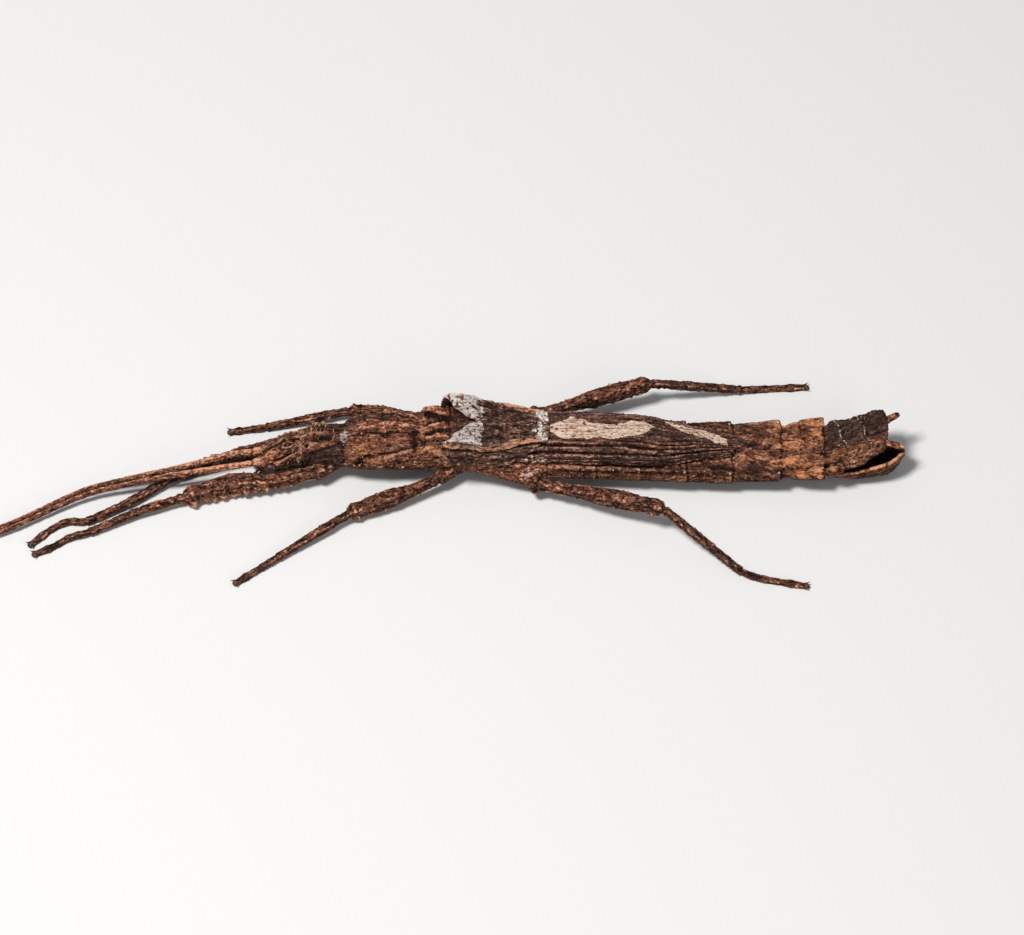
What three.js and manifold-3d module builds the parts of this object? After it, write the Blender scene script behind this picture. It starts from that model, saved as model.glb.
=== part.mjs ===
// A bark-like winged stick insect, a female standing with her forelegs stretched ahead, life size.
//
// Millimetres, +Z up, the head towards -X, the insect's left side towards -Y, the floor at z = 0.
// Every place is worked out in the body's own frame: x runs back from the front of the head, and
// y = 0 is the middle of the thorax. One group then carries the whole insect so that the origin
// lies on the floor, under the middle of the overall box.

import * as THREE from 'three';
import { mergeVertices } from 'three/addons/utils/BufferGeometryUtils.js';
import Module from 'manifold-3d';

const wasm = await Module();
wasm.setup();

// ---- Driving dimensions ----

const SEAM = 0.06; // the cut between two neighbouring pieces
const HEAD_END = 4.7;
const PROTHORAX_END = 9.5;
const MESOTHORAX_END = 21.3;
const METATHORAX_END = 32.2;
const ABDOMEN_ENDS = [37.7, 42.6, 47.7, 52.8, 58.2, 63.0, 65.2, 67.6, 70.0]; // segments 2 to 10
const FOOT_HEIGHT = 0.24; // the axis of a foot above the floor, less than half its depth
const BOX_CENTRE = new THREE.Vector3(15.46, -3.67, 0); // the middle of the overall box, on the floor

const LEFT = -1;
const RIGHT = 1;

// ---- Functions that carry shape along the body ----

/** A smooth function through [x, value] pairs. It never swings past them. */
function through(...pairs) {
  const slopes = pairs.slice(1).map(([x, value], i) => (value - pairs[i][1]) / (x - pairs[i][0]));
  const tangents = pairs.map((_, i) => {
    const before = slopes[i - 1] ?? 0;
    const after = slopes[i] ?? 0;
    return before * after > 0 ? (2 * before * after) / (before + after) : 0;
  });
  return x => {
    const clamped = Math.min(Math.max(x, pairs[0][0]), pairs.at(-1)[0]);
    const i = Math.max(0, pairs.findIndex(pair => pair[0] >= clamped) - 1);
    const span = pairs[i + 1][0] - pairs[i][0];
    const t = (clamped - pairs[i][0]) / span;
    const rise = t * t * (3 - 2 * t);
    const bend = t * (1 - t) * span * (tangents[i] * (1 - t) - tangents[i + 1] * t);
    return pairs[i][1] + (pairs[i + 1][1] - pairs[i][1]) * rise + bend;
  };
}

/** A bell of height 1 round a middle, falling away over the given width. */
const bell = (x, middle, width) => Math.exp(-(((x - middle) / width) ** 2));

const mix = (from, to, share) => from + (to - from) * share;

/** A power that keeps the sign of its base. */
const signedPower = (base, power) => Math.sign(base) * Math.abs(base) ** power;

const at = (x, y, z) => new THREE.Vector3(x, y, z);

// ---- Solids ----

/** Keeps only the places of a geometry and joins the corners that coincide. */
function weld(geometry) {
  geometry.deleteAttribute('normal');
  geometry.deleteAttribute('uv');
  const welded = mergeVertices(geometry, 1e-5);
  welded.computeVertexNormals();
  return welded;
}

/**
 * A closed tube of rings. place(share, angle) gives a point of the ring at that share of the
 * length, at an angle that starts across the body and turns towards its top.
 */
function loft(steps, sides, place) {
  const geometry = new THREE.CylinderGeometry(1, 1, 1, sides, steps);
  const corners = geometry.attributes.position;
  const ringPoint = (share, side) => place(share, (side / sides) * 2 * Math.PI);
  const ringCentre = share => {
    const centre = new THREE.Vector3();
    for (let side = 0; side < sides; side++) centre.add(ringPoint(share, side));
    return centre.divideScalar(sides);
  };
  for (let i = 0; i < corners.count; i++) {
    const share = Math.round((0.5 - corners.getY(i)) * steps) / steps;
    const onRim = Math.hypot(corners.getX(i), corners.getZ(i)) > 0.5;
    const turn = Math.atan2(-corners.getX(i), corners.getZ(i)) / (2 * Math.PI);
    const side = (Math.round(turn * sides) + sides) % sides;
    const point = onRim ? ringPoint(share, side) : ringCentre(share);
    corners.setXYZ(i, point.x, point.y, point.z);
  }
  return weld(geometry);
}

/**
 * A closed plate. place(along, across, up) carries a unit block to its shape, each share
 * running from 0 to 1. On the left side the block is mirrored, so its faces are turned back.
 */
function plate(steps, strips, side, place) {
  const geometry = new THREE.BoxGeometry(1, 1, 1, steps, strips, 1);
  const corners = geometry.attributes.position;
  for (let i = 0; i < corners.count; i++) {
    const along = Math.round((corners.getX(i) + 0.5) * steps) / steps;
    const row = Math.round((corners.getY(i) + 0.5) * strips) / strips;
    const across = side === RIGHT ? row : 1 - row;
    const point = place(along, across, corners.getZ(i) > 0 ? 1 : 0);
    corners.setXYZ(i, point.x, point.y, point.z);
  }
  return weld(geometry);
}

/** A ball with three radii. */
function ball(centre, radii, columns, rows) {
  const geometry = new THREE.SphereGeometry(1, columns, rows);
  geometry.scale(...radii.toArray());
  geometry.translate(...centre.toArray());
  return weld(geometry);
}

function toSolid(geometry) {
  return new wasm.Manifold(new wasm.Mesh({
    numProp: 3,
    vertProperties: Float32Array.from(geometry.attributes.position.array),
    triVerts: Uint32Array.from(geometry.index.array),
  }));
}

/** The geometry less every cutter. */
function cutAway(geometry, cutters) {
  const solid = cutters.reduce((rest, cutter) => rest.subtract(toSolid(cutter)), toSolid(geometry));
  const largest = solid.decompose().sort((a, b) => b.volume() - a.volume())[0];
  const mesh = largest.getMesh();
  const result = new THREE.BufferGeometry();
  result.setAttribute('position', new THREE.BufferAttribute(mesh.vertProperties, 3));
  result.setIndex(new THREE.BufferAttribute(mesh.triVerts, 1));
  result.computeVertexNormals();
  return result;
}

// ---- The trunk ----

const trunkCentre = through(
  [0, -1.7], [1.4, -1.3], [4.7, -0.35], [9.5, -0.15], [13, 0], [31, 0],
  [38, -0.2], [52, -0.7], [60, -0.8], [64, -0.7], [67.1, -0.2], [68.9, 0.15], [70, 0.25],
);

/** The share of the way through the abdominal segment that x lies in. */
function segmentShare(x) {
  const end = ABDOMEN_ENDS.findIndex(place => place >= x - 1e-6);
  const from = end > 0 ? ABDOMEN_ENDS[end - 1] : METATHORAX_END;
  return (x - from) / (ABDOMEN_ENDS[end] - from);
}

/** How far the hind corners of an abdominal segment stand out to the sides. */
function cornerFlare(x) {
  const size = through([40, 0.15], [52, 0.3], [60, 0.65], [66, 0.2], [70, 0])(x);
  return size * segmentShare(x) ** 4;
}

const SHAPES = {
  head: {
    halfWidth: through([0, 0.9], [0.6, 1.4], [1.5, 1.75], [2.6, 1.85], [3.6, 2.0], [4.7, 1.75]),
    top: through([0, 3.2], [0.7, 3.75], [1.6, 3.95], [3.4, 4.15], [4.7, 4.0]),
    side: () => 2.75,
    bottom: through([0, 2.1], [0.8, 1.4], [3, 1.3], [4.7, 1.6]),
    squareness: 2.6,
  },
  prothorax: {
    halfWidth: through([4.7, 2.2], [5.4, 2.4], [8.6, 2.65], [9.5, 2.5]),
    top: through([4.7, 4.2], [6.5, 4.6], [9.5, 4.6]),
    side: () => 2.7,
    bottom: through([4.7, 1.4], [9.5, 1.1]),
    squareness: 3.4,
  },
  mesothorax: {
    halfWidth: through([9.5, 2.75], [11, 3.2], [14, 3.4], [18, 3.35], [21.3, 3.2]),
    top: through([9.5, 4.7], [12, 5.05], [21.3, 5.3]),
    side: () => 3.1,
    bottom: through([9.5, 1.1], [13, 0.9], [21.3, 0.8]),
    squareness: 4.2,
    lift: (x, offset) => {
      const edge = 0.3 * bell(Math.abs(offset), 3.3, 0.5);
      const lobe = through([18.1, 0], [18.6, 2.3], [21.3, 2.1])(x);
      return edge + lobe * bell(Math.abs(offset), 3.05, 0.6);
    },
  },
  metathorax: {
    halfWidth: through([21.3, 2.7], [23, 2.9], [26.5, 4.1], [30, 4.85], [32.2, 4.2]),
    top: through([21.3, 5.1], [26, 4.9], [32.2, 4.2]),
    side: () => 2.0,
    bottom: through([21.3, 0.8], [32.2, 0.7]),
    squareness: 2.5,
  },
  abdomen: {
    halfWidth: x => cornerFlare(x) + through(
      [32.2, 4.05], [38, 4.1], [50, 4.1], [60, 3.75], [63, 3.7], [65.2, 3.45], [68, 3.15], [70, 2.75],
    )(x),
    top: through(
      [32.2, 4.1], [38, 3.75], [52.8, 3.4], [60, 3.5], [63, 3.6], [65, 4.0], [67.1, 4.7],
      [68.9, 5.35], [70, 5.6],
    ),
    side: through(
      [32.2, 2.3], [50, 2.3], [58, 2.9], [63, 3.15], [65, 3.5], [67.1, 4.15], [68.9, 4.8], [70, 5.1],
    ),
    bottom: through([32.2, 0.7], [50, 0.6], [60, 0.8], [63.5, 1.4], [66, 2.4], [68.5, 3.5], [70, 4.1]),
    squareness: 3.4,
    roll: through([48, 0], [58, 0.05], [66, 0.06], [70, 0.1]),
  },
};

const BELLY_POWER = 1.1; // a round underside, while each back has its own squareness

/** A stretch of the trunk. grown is how much larger than the real piece it is made all over. */
function trunkPiece(shape, from, to, steps, sides, grown = 0) {
  return loft(steps, sides, (share, angle) => {
    const x = mix(from + SEAM / 2 - grown, to - SEAM / 2 + grown, share);
    const inside = Math.min(Math.max(x, from), to);
    const power = Math.sin(angle) > 0 ? 2 / shape.squareness : BELLY_POWER;
    const offset = signedPower(Math.cos(angle), power) * (shape.halfWidth(inside) + grown);
    const rise = signedPower(Math.sin(angle), power);
    const side = shape.side(inside);
    const reach = rise > 0 ? shape.top(inside) - side : side - shape.bottom(inside);
    const lift = rise > 0 && shape.lift ? shape.lift(inside, offset) * rise : 0;
    const roll = shape.roll ? shape.roll(inside) * offset : 0;
    return at(x, trunkCentre(inside) + offset, side + rise * (reach + grown) + lift + roll);
  });
}

/** The pieces of the trunk, each with its outline, its stretch of the body and its fineness. */
const TRUNK = {
  head: [SHAPES.head, 0, HEAD_END, 8, 16],
  prothorax: [SHAPES.prothorax, HEAD_END, PROTHORAX_END, 4, 20],
  mesothorax: [SHAPES.mesothorax, PROTHORAX_END, MESOTHORAX_END, 12, 22],
  metathorax: [SHAPES.metathorax, MESOTHORAX_END, METATHORAX_END, 7, 20],
};
ABDOMEN_ENDS.forEach((end, i) => {
  TRUNK[`abdomen_${i + 2}`] = [SHAPES.abdomen, ABDOMEN_ENDS[i - 1] ?? METATHORAX_END, end, 3, 18];
});

/** The named trunk pieces, a little enlarged, for cutting what meets them. */
function trunkCutters(...names) {
  return names.map(name => trunkPiece(...TRUNK[name], SEAM));
}

// ---- The wings, folded back over the body ----

const RIDGE_SHARE = 0.55; // how far across a wing its ridge lies
const MIDLINE_GAP = 0.05; // from the midline to the inner edge of a wing
const WING_DEPTH = 0.6; // of a free edge
const WING_STEP = 0.15; // from the rear edge of a forewing to the front of a hind wing

const TEGMEN = {
  front: across => mix(24.4, 21.4, Math.min(1, across / RIDGE_SHARE)),
  rear: through([0, 32.4], [1.5, 32.3], [2.4, 31.5], [3.2, 29.9], [3.95, 28]), // by the distance out
  ridgeOffset: through([21.3, 3.4], [24, 3.35], [28.6, 2.75], [32.4, 2.1]),
  marginOffset: 3.95,
  ridge: through([21.3, 7.7], [23.6, 7.5], [25, 6.8], [28.6, 6.45], [32.4, 6.2]),
  middle: through([21.3, 7.4], [24.4, 7.5], [28, 6.7], [32.4, 6.2]),
  margin: through([21.3, 4.2], [26, 4.1], [32.4, 4.6]),
  rootHeight: 4.2, // inside the thorax, which cuts the plate away
};

const HINDWING = {
  rear: across => mix(55.5, 52, across),
  halfWidth: through([28.4, 3.5], [42.5, 3.35], [48, 2.3], [53.6, 1.05], [55.5, 0.35]),
  middle: through([28.4, 6.0], [34, 6.0], [40, 5.95], [48, 5.1], [55.5, 4.3]),
  drop: through([28.4, 1.2], [40, 1.2], [48, 0.75], [55.5, 0.2]), // from the middle to the outer edge
  slope: through([0, 0], [RIDGE_SHARE, 0.1], [1, 1]),
  rootHeight: 3.2, // inside the abdomen, which cuts the plate away
};

/** The leathery forewing: a steep-sided hump that slopes back over the root of the hind wing. */
function tegmen(side) {
  const reach = ridge => through([0, MIDLINE_GAP], [RIDGE_SHARE, ridge], [1, TEGMEN.marginOffset]);
  const rearReach = reach(2.2);
  return plate(7, 6, side, (along, across, up) => {
    const x = mix(TEGMEN.front(across), TEGMEN.rear(rearReach(across)), along);
    const heights = [[0, TEGMEN.middle(x)], [RIDGE_SHARE, TEGMEN.ridge(x)], [1, TEGMEN.margin(x)]];
    const outer = through(...heights)(across);
    const offset = reach(TEGMEN.ridgeOffset(x))(across);
    if (up) return at(x, side * offset, outer);
    const inner = Math.min(outer - WING_DEPTH, mix(TEGMEN.rootHeight, TEGMEN.margin(x), across));
    return at(x, side * Math.max(MIDLINE_GAP, offset - WING_DEPTH * across), inner);
  });
}

/** The hind wing: a long flat-topped fan of folds that narrows to a point over the abdomen. */
function hindwing(side) {
  return plate(8, 4, side, (along, across, up) => {
    const front = TEGMEN.rear(mix(MIDLINE_GAP, HINDWING.halfWidth(0), across)) + WING_STEP;
    const x = mix(front, HINDWING.rear(across), along);
    const reach = mix(MIDLINE_GAP, HINDWING.halfWidth(x), across);
    const outer = HINDWING.middle(x) - HINDWING.drop(x) * HINDWING.slope(across);
    const inner = mix(HINDWING.rootHeight, outer - WING_DEPTH, across ** 2);
    return at(x, trunkCentre(x) + side * reach, up ? outer : Math.min(inner, outer - WING_DEPTH));
  });
}

// ---- Limbs ----

/** A path of straight runs through the points, with each corner rounded over the given length. */
function roundedPath(points, rounding) {
  const path = new THREE.CurvePath();
  let start = points[0];
  for (let i = 1; i < points.length - 1; i++) {
    const corner = points[i];
    const room = Math.min(corner.distanceTo(points[i - 1]), corner.distanceTo(points[i + 1])) / 2;
    const cut = Math.min(rounding, room);
    const towards = place => corner.clone().add(place.clone().sub(corner).setLength(cut));
    const before = towards(points[i - 1]);
    const after = towards(points[i + 1]);
    path.add(new THREE.LineCurve3(start, before));
    path.add(new THREE.QuadraticBezierCurve3(before, corner, after));
    start = after;
  }
  path.add(new THREE.LineCurve3(start, points.at(-1)));
  return path;
}

/**
 * A stretch of a limb between two distances along its path. size(share, direction) gives half
 * its depth up and down, half its breadth across, and any barb that stands out in a direction.
 */
function limbPiece(path, from, to, steps, sides, size) {
  const whole = path.getLength();
  return loft(steps, sides, (share, angle) => {
    const distance = mix(from + SEAM / 2, to - SEAM / 2, share);
    const middle = path.getPointAt(Math.min(1, distance / whole));
    const ahead = path.getTangentAt(Math.min(1, distance / whole));
    const across = new THREE.Vector3(0, 0, 1).cross(ahead).normalize();
    const up = ahead.clone().cross(across);
    const direction = across.clone().multiplyScalar(Math.cos(angle)).addScaledVector(up, Math.sin(angle));
    const { depth, breadth, barb = 0 } = size(share, direction);
    const point = middle.clone()
      .addScaledVector(across, Math.cos(angle) * breadth)
      .addScaledVector(up, Math.sin(angle) * depth)
      .addScaledVector(direction, barb);
    point.z = Math.max(0, point.z);
    return point;
  });
}

/** The distance along a path at which it passes nearest to a point. */
function distanceTo(path, point) {
  const whole = path.getLength();
  const samples = Array.from({ length: 801 }, (_, i) => (i / 800) * whole);
  const gap = distance => path.getPointAt(distance / whole).distanceTo(point);
  return samples.reduce((best, distance) => (gap(distance) < gap(best) ? distance : best));
}

// Each leg runs from its root in the thorax through the trochanter, along the femur to the knee,
// along the tibia to the ankle, and along the foot to the claws.
const LEGS = {
  front_left: {
    host: ['prothorax', 'head', 'mesothorax'],
    root: at(8.8, -1.5, 2.2),
    trochanter: at(6.7, -3.15, 2.1),
    femur: [at(1.3, -4.35, 1.6), at(-2.6, -4.35, 1.6)],
    knee: at(-8.1, -6.1, 1.2),
    tibia: [at(-13.1, -7.85, 0.9)],
    ankle: at(-18.7, -10.7, 0.6),
    foot: [at(-20.9, -11.2, 0.35), at(-22.4, -12.4, FOOT_HEIGHT), at(-24.5, -13.5, FOOT_HEIGHT)],
    size: 1.12,
  },
  front_right: {
    host: ['prothorax', 'head', 'mesothorax'],
    root: at(8.8, 1.4, 2.1),
    trochanter: at(6.6, 2.95, 1.8),
    femur: [at(3.6, 2.35, 1.4), at(-2.0, 0.15, 1.0)],
    knee: at(-8.9, -2.5, 0.85),
    tibia: [at(-14.2, -6.4, 0.7)],
    ankle: at(-19.1, -9.2, 0.55),
    foot: [at(-21.1, -8.8, 0.35), at(-23.1, -10.1, FOOT_HEIGHT), at(-25.0, -12.1, FOOT_HEIGHT)],
    size: 0.85,
  },
  middle_left: {
    host: ['mesothorax', 'metathorax'],
    root: at(22.5, -2.2, 2.1),
    trochanter: at(20.3, -3.9, 2.0),
    femur: [at(17.5, -5.5, 1.85)],
    knee: at(10.2, -8.5, 1.3),
    tibia: [],
    ankle: at(2.2, -14.3, 0.55),
    foot: [at(0.4, -15.6, 0.32), at(-2.2, -17.6, FOOT_HEIGHT)],
    size: 1,
  },
  middle_right: {
    host: ['mesothorax', 'metathorax'],
    root: at(22.5, 2.2, 2.1),
    trochanter: at(20.3, 3.8, 2.0),
    femur: [at(17.5, 4.9, 1.8)],
    knee: at(10.2, 6.5, 1.2),
    tibia: [],
    ankle: at(0.7, 4.6, 0.55),
    foot: [at(-0.8, 4.5, 0.32), at(-3.1, 4.15, FOOT_HEIGHT)],
    size: 0.85,
  },
  hind_left: {
    host: ['metathorax', 'abdomen_2'],
    root: at(29.2, -3.4, 2.1),
    trochanter: at(30.9, -5.0, 2.2),
    femur: [],
    knee: at(44.9, -9.5, 3.4),
    tibia: [],
    ankle: at(53.6, -16.35, 0.55),
    foot: [at(55.6, -17.1, 0.32), at(60.6, -18.1, FOOT_HEIGHT)],
    size: 1,
  },
  hind_right: {
    host: ['metathorax', 'abdomen_2'],
    root: at(29.2, 3.4, 2.1),
    trochanter: at(30.9, 5.0, 2.2),
    femur: [],
    knee: at(43.5, 8.8, 3.2),
    tibia: [],
    ankle: at(54.0, 10.1, 0.55),
    foot: [at(56.2, 10.4, 0.32), at(61.0, 10.7, FOOT_HEIGHT)],
    size: 1,
  },
};

// Half the depth of each piece of a leg, by the share of its length.
const femurDepth = through(
  [0, 0.58], [0.3, 0.66], [0.55, 0.98], [0.7, 0.98], [0.88, 0.84], [0.95, 0.9], [1, 0.7],
);
const tibiaDepth = through([0, 0.52], [0.1, 0.42], [0.35, 0.48], [0.7, 0.42], [0.92, 0.4], [1, 0.46]);
const footDepth = through([0, 0.34], [0.3, 0.36], [0.6, 0.32], [0.8, 0.4], [1, 0.28]);

// The rings of a femur, and those of them at which its outer lower edge is toothed.
const FEMUR_RINGS = { front: 20, middle: 12, hind: 12 };
const TOOTHED_RINGS = { front: [5, 8, 11, 15, 19], middle: [11], hind: [11] };
const TOOTH_HEIGHT = 0.32;
const TOOTH_WIDTH = 0.025; // as a share of the femur

/** How far the teeth of a femur on the given side stand out in a direction. */
function femurBarb(pair, side, share, direction) {
  const facing = Math.max(0, direction.dot(at(0, side * 0.8, -0.6)));
  const heights = TOOTHED_RINGS[pair].map(ring => bell(share, ring / FEMUR_RINGS[pair], TOOTH_WIDTH));
  return TOOTH_HEIGHT * Math.max(...heights) * facing ** 3;
}

const KNEE_ROUNDING = 1.3; // how far from a corner its bend begins
const HIP_LENGTH = 0.5; // of the coxa beyond the middle of its bend

/** The four pieces of one leg, such as front_left. */
function leg(name) {
  const plan = LEGS[name];
  const [pair, label] = name.split('_');
  const side = label === 'left' ? LEFT : RIGHT;
  const upper = [plan.root, plan.trochanter, ...plan.femur, plan.knee];
  const lower = [...plan.tibia, plan.ankle, ...plan.foot];
  const path = roundedPath([...upper, ...lower], KNEE_ROUNDING);
  const hip = distanceTo(path, plan.trochanter) + HIP_LENGTH;
  const knee = distanceTo(path, plan.knee);
  const ankle = distanceTo(path, plan.ankle);
  const coxa = limbPiece(path, 0, hip, 5, 8, share => ({
    depth: plan.size * mix(0.78, 0.62, share),
    breadth: plan.size * mix(0.8, 0.6, share),
  }));
  return {
    coxa: cutAway(coxa, trunkCutters(...plan.host)),
    femur: limbPiece(path, hip, knee, FEMUR_RINGS[pair], 8, (share, direction) => ({
      depth: plan.size * femurDepth(share),
      breadth: plan.size * femurDepth(share) * 0.82,
      barb: femurBarb(pair, side, share, direction),
    })),
    tibia: limbPiece(path, knee, ankle, 8, 6, share => ({
      depth: tibiaDepth(share),
      breadth: tibiaDepth(share),
    })),
    tarsus: limbPiece(path, ankle, path.getLength(), 6, 6, share => ({
      depth: footDepth(share),
      breadth: footDepth(share) * 1.15,
    })),
  };
}

// ---- Head and tail fittings ----

const EYE_RADII = new THREE.Vector3(0.55, 0.42, 0.5);

function eye(side) {
  const centre = at(1.5, trunkCentre(1.5) + side * 1.85, 2.95);
  return cutAway(ball(centre, EYE_RADII, 10, 7), trunkCutters('head'));
}

function mouthparts() {
  const block = loft(4, 12, (share, angle) => {
    const x = mix(-0.35, 2.2, share);
    const half = through([0, 0.55], [0.4, 1.0], [1, 1.05])(share);
    const top = through([0, 2.3], [0.4, 2.7], [1, 2.4])(share);
    const bottom = through([0, 1.2], [0.5, 0.75], [1, 0.95])(share);
    const rise = signedPower(Math.sin(angle), 0.8);
    const middle = (top + bottom) / 2;
    return at(x, trunkCentre(0.5) + Math.cos(angle) * half, middle + rise * (top - middle));
  });
  return cutAway(block, trunkCutters('head'));
}

// The two antennae run forward side by side, over the right front femur.
const antennaSpread = through([0, 0.75], [3, 0.9], [7.5, 0.6], [12, 0.42], [30, 0.36], [42, 0.6]);
const ANTENNA_SPLIT = 17; // along an antenna, between its two lengths
const antennaDepth = through([0, 0.42], [2, 0.34], [14, 0.3], [41, 0.25]);

function antenna(side) {
  const run = [
    [0.7, -1.75, 3.0], [-2, -1.9, 2.75], [-6.4, -2.75, 2.45], [-9, -3.35, 2.3], [-17.5, -5.0, 1.25],
    [-28.6, -10.8, 0.75], [-40.9, -15.8, 0.9],
  ];
  const points = run.map(([x, y, z]) => at(x, y + side * antennaSpread(0.7 - x), z));
  const path = new THREE.CatmullRomCurve3(points, false, 'centripetal');
  const whole = path.getLength();
  const width = from => share => {
    const distance = mix(from.start, from.end, share);
    return { depth: antennaDepth(distance), breadth: antennaDepth(distance) };
  };
  const base = { start: 0, end: ANTENNA_SPLIT };
  const tip = { start: ANTENNA_SPLIT, end: whole };
  return {
    base: cutAway(limbPiece(path, base.start, base.end, 14, 6, width(base)), trunkCutters('head')),
    tip: limbPiece(path, tip.start, tip.end, 12, 6, width(tip)),
  };
}

/** The egg-laying scoop: an open trough under the tail, closed at the front and rising to its tip. */
function operculum() {
  const from = 63.4;
  const to = 71.9;
  const wall = 0.5;
  const half = through([from, 1.9], [66.6, 2.1], [69.4, 1.8], [71, 1.15], [to, 0.6]);
  const rim = through([from, 1.3], [65.2, 1.9], [68, 2.9], [70.2, 3.3], [to, 3.2]);
  const floor = through([from, 0.75], [66.6, 0.4], [70, 0.4], [71.1, 1.2], [to, 2.4]);
  const centre = through([from, -1.3], [67, -1.5], [70, -1.4], [to, -1.0]);
  const scoop = loft(7, 16, (share, angle) => {
    const x = mix(from, to, share);
    const outer = Math.sin(angle) <= 1e-9;
    const inset = outer ? 0 : wall;
    const y = centre(x) + signedPower(Math.cos(angle), 0.6) * (half(x) - inset);
    const depth = Math.max(rim(x) - floor(x) - inset, 0.1);
    return at(x, y, rim(x) - Math.abs(Math.sin(angle)) ** 0.6 * depth);
  });
  return cutAway(scoop, trunkCutters('abdomen_7', 'abdomen_8', 'abdomen_9'));
}

function cercus(side) {
  const root = side === LEFT ? at(69.4, -1.2, 4.95) : at(69.4, 1.2, 5.0);
  const tip = side === LEFT ? at(71.3, -1.6, 4.65) : at(71.3, 2.6, 5.15);
  const path = new THREE.LineCurve3(root, tip);
  const spike = limbPiece(path, 0, root.distanceTo(tip), 4, 8, share => ({
    depth: through([0, 0.42], [0.7, 0.4], [1, 0.26])(share),
    breadth: through([0, 0.36], [0.7, 0.34], [1, 0.25])(share),
  }));
  return cutAway(spike, trunkCutters('abdomen_10', 'abdomen_9'));
}

// ---- The whole insect ----

const COLOURS = {
  bark: { color: 0x7a5a48, roughness: 0.85, metalness: 0 },
  limb: { color: 0x8a6a55, roughness: 0.8, metalness: 0 },
  lichen: { color: 0xb9aea4, roughness: 0.9, metalness: 0 },
  wing: { color: 0x83654f, roughness: 0.85, metalness: 0 },
  eye: { color: 0x4a3a3c, roughness: 0.35, metalness: 0 },
};

const insect = new THREE.Group();

function addPiece(name, geometry, finish) {
  const mesh = new THREE.Mesh(geometry, new THREE.MeshStandardMaterial(COLOURS[finish]));
  mesh.name = name;
  insect.add(mesh);
}

for (const [name, stretch] of Object.entries(TRUNK)) {
  addPiece(name, trunkPiece(...stretch), 'bark');
}
addPiece('mouthparts', mouthparts(), 'bark');
addPiece('operculum', operculum(), 'bark');

for (const [label, side] of [['left', LEFT], ['right', RIGHT]]) {
  const underForewing = trunkCutters('mesothorax', 'metathorax', 'abdomen_2');
  const underHindwing = trunkCutters('metathorax', ...[2, 3, 4, 5, 6].map(number => `abdomen_${number}`));
  const { base, tip } = antenna(side);
  addPiece(`eye_${label}`, eye(side), 'eye');
  addPiece(`antenna_${label}_base`, base, 'limb');
  addPiece(`antenna_${label}_tip`, tip, 'limb');
  addPiece(`tegmen_${label}`, cutAway(tegmen(side), underForewing), 'lichen');
  addPiece(`hindwing_${label}`, cutAway(hindwing(side), underHindwing), 'wing');
  addPiece(`cercus_${label}`, cercus(side), 'limb');
}

for (const name of Object.keys(LEGS)) {
  for (const [part, geometry] of Object.entries(leg(name))) {
    addPiece(`leg_${name}_${part}`, geometry, 'limb');
  }
}

insect.position.set(-BOX_CENTRE.x, -BOX_CENTRE.y, 0);
const group = new THREE.Group();
group.add(insect);

export default group;
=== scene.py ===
# %% [markdown]
# # A bark-like winged stick insect
# The real animal passes for a strip of broken bark. Its skin is a hard shell, furrowed lengthwise,
# and pale crusts like lichen lie over its wings. A frame of plain solids gives the size and the
# place of every part. This lesson lays a fine skin over each of them, one part at a time, and then
# sets up a camera and soft lights.

# %% Load the frame
import math

import bmesh
import bpy
import numpy as np
from mathutils import Matrix, Vector, noise


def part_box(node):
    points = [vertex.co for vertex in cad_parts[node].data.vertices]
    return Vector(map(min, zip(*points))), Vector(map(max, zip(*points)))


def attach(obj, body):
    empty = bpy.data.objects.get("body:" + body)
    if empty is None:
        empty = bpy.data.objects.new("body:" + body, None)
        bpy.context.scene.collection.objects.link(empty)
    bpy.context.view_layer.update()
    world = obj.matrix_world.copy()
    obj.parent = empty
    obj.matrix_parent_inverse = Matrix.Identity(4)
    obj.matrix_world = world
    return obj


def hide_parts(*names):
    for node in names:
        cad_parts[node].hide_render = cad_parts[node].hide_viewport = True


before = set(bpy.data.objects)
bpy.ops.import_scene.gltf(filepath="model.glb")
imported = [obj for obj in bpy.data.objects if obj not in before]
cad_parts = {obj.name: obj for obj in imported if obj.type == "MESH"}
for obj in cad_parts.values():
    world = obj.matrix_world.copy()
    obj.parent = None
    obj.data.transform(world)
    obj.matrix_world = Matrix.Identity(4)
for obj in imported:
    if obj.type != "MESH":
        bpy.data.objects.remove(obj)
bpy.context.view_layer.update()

print("nodes in the frame:", len(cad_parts))

# %% [markdown]
# ## Millimetres along a body
# A body is easiest to describe in its own frame: x runs back from the front of the head, y is to the
# insect's right of the middle of the thorax, and z is up from the floor. The frame's head and
# metathorax show where that origin lies, so nothing has to be measured twice.

# %% The body's own frame
MM = 0.001
HALF_SEAM = 0.03  # mm, each solid of the trunk stops this far short of its end

head_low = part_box("head")[0] / MM
waist_low, waist_high = (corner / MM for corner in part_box("metathorax"))
BODY_ORIGIN = np.array([head_low.x - HALF_SEAM, (waist_low.y + waist_high.y) / 2, 0.0])


def to_scene(points):
    """Carries places in the body's frame, in millimetres, to metres in the scene."""
    return (points + BODY_ORIGIN) * MM


print("the body's origin lies at", BODY_ORIGIN.round(2), "mm")

# %% [markdown]
# ## Smooth profiles
# Most shapes here are a few numbers along the body: how wide, how high, how deep. A profile must pass
# through its numbers without swinging past them, or a narrow neck turns into a bulge. Ordinary
# splines do swing, so this one flattens itself wherever its numbers turn back.

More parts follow.
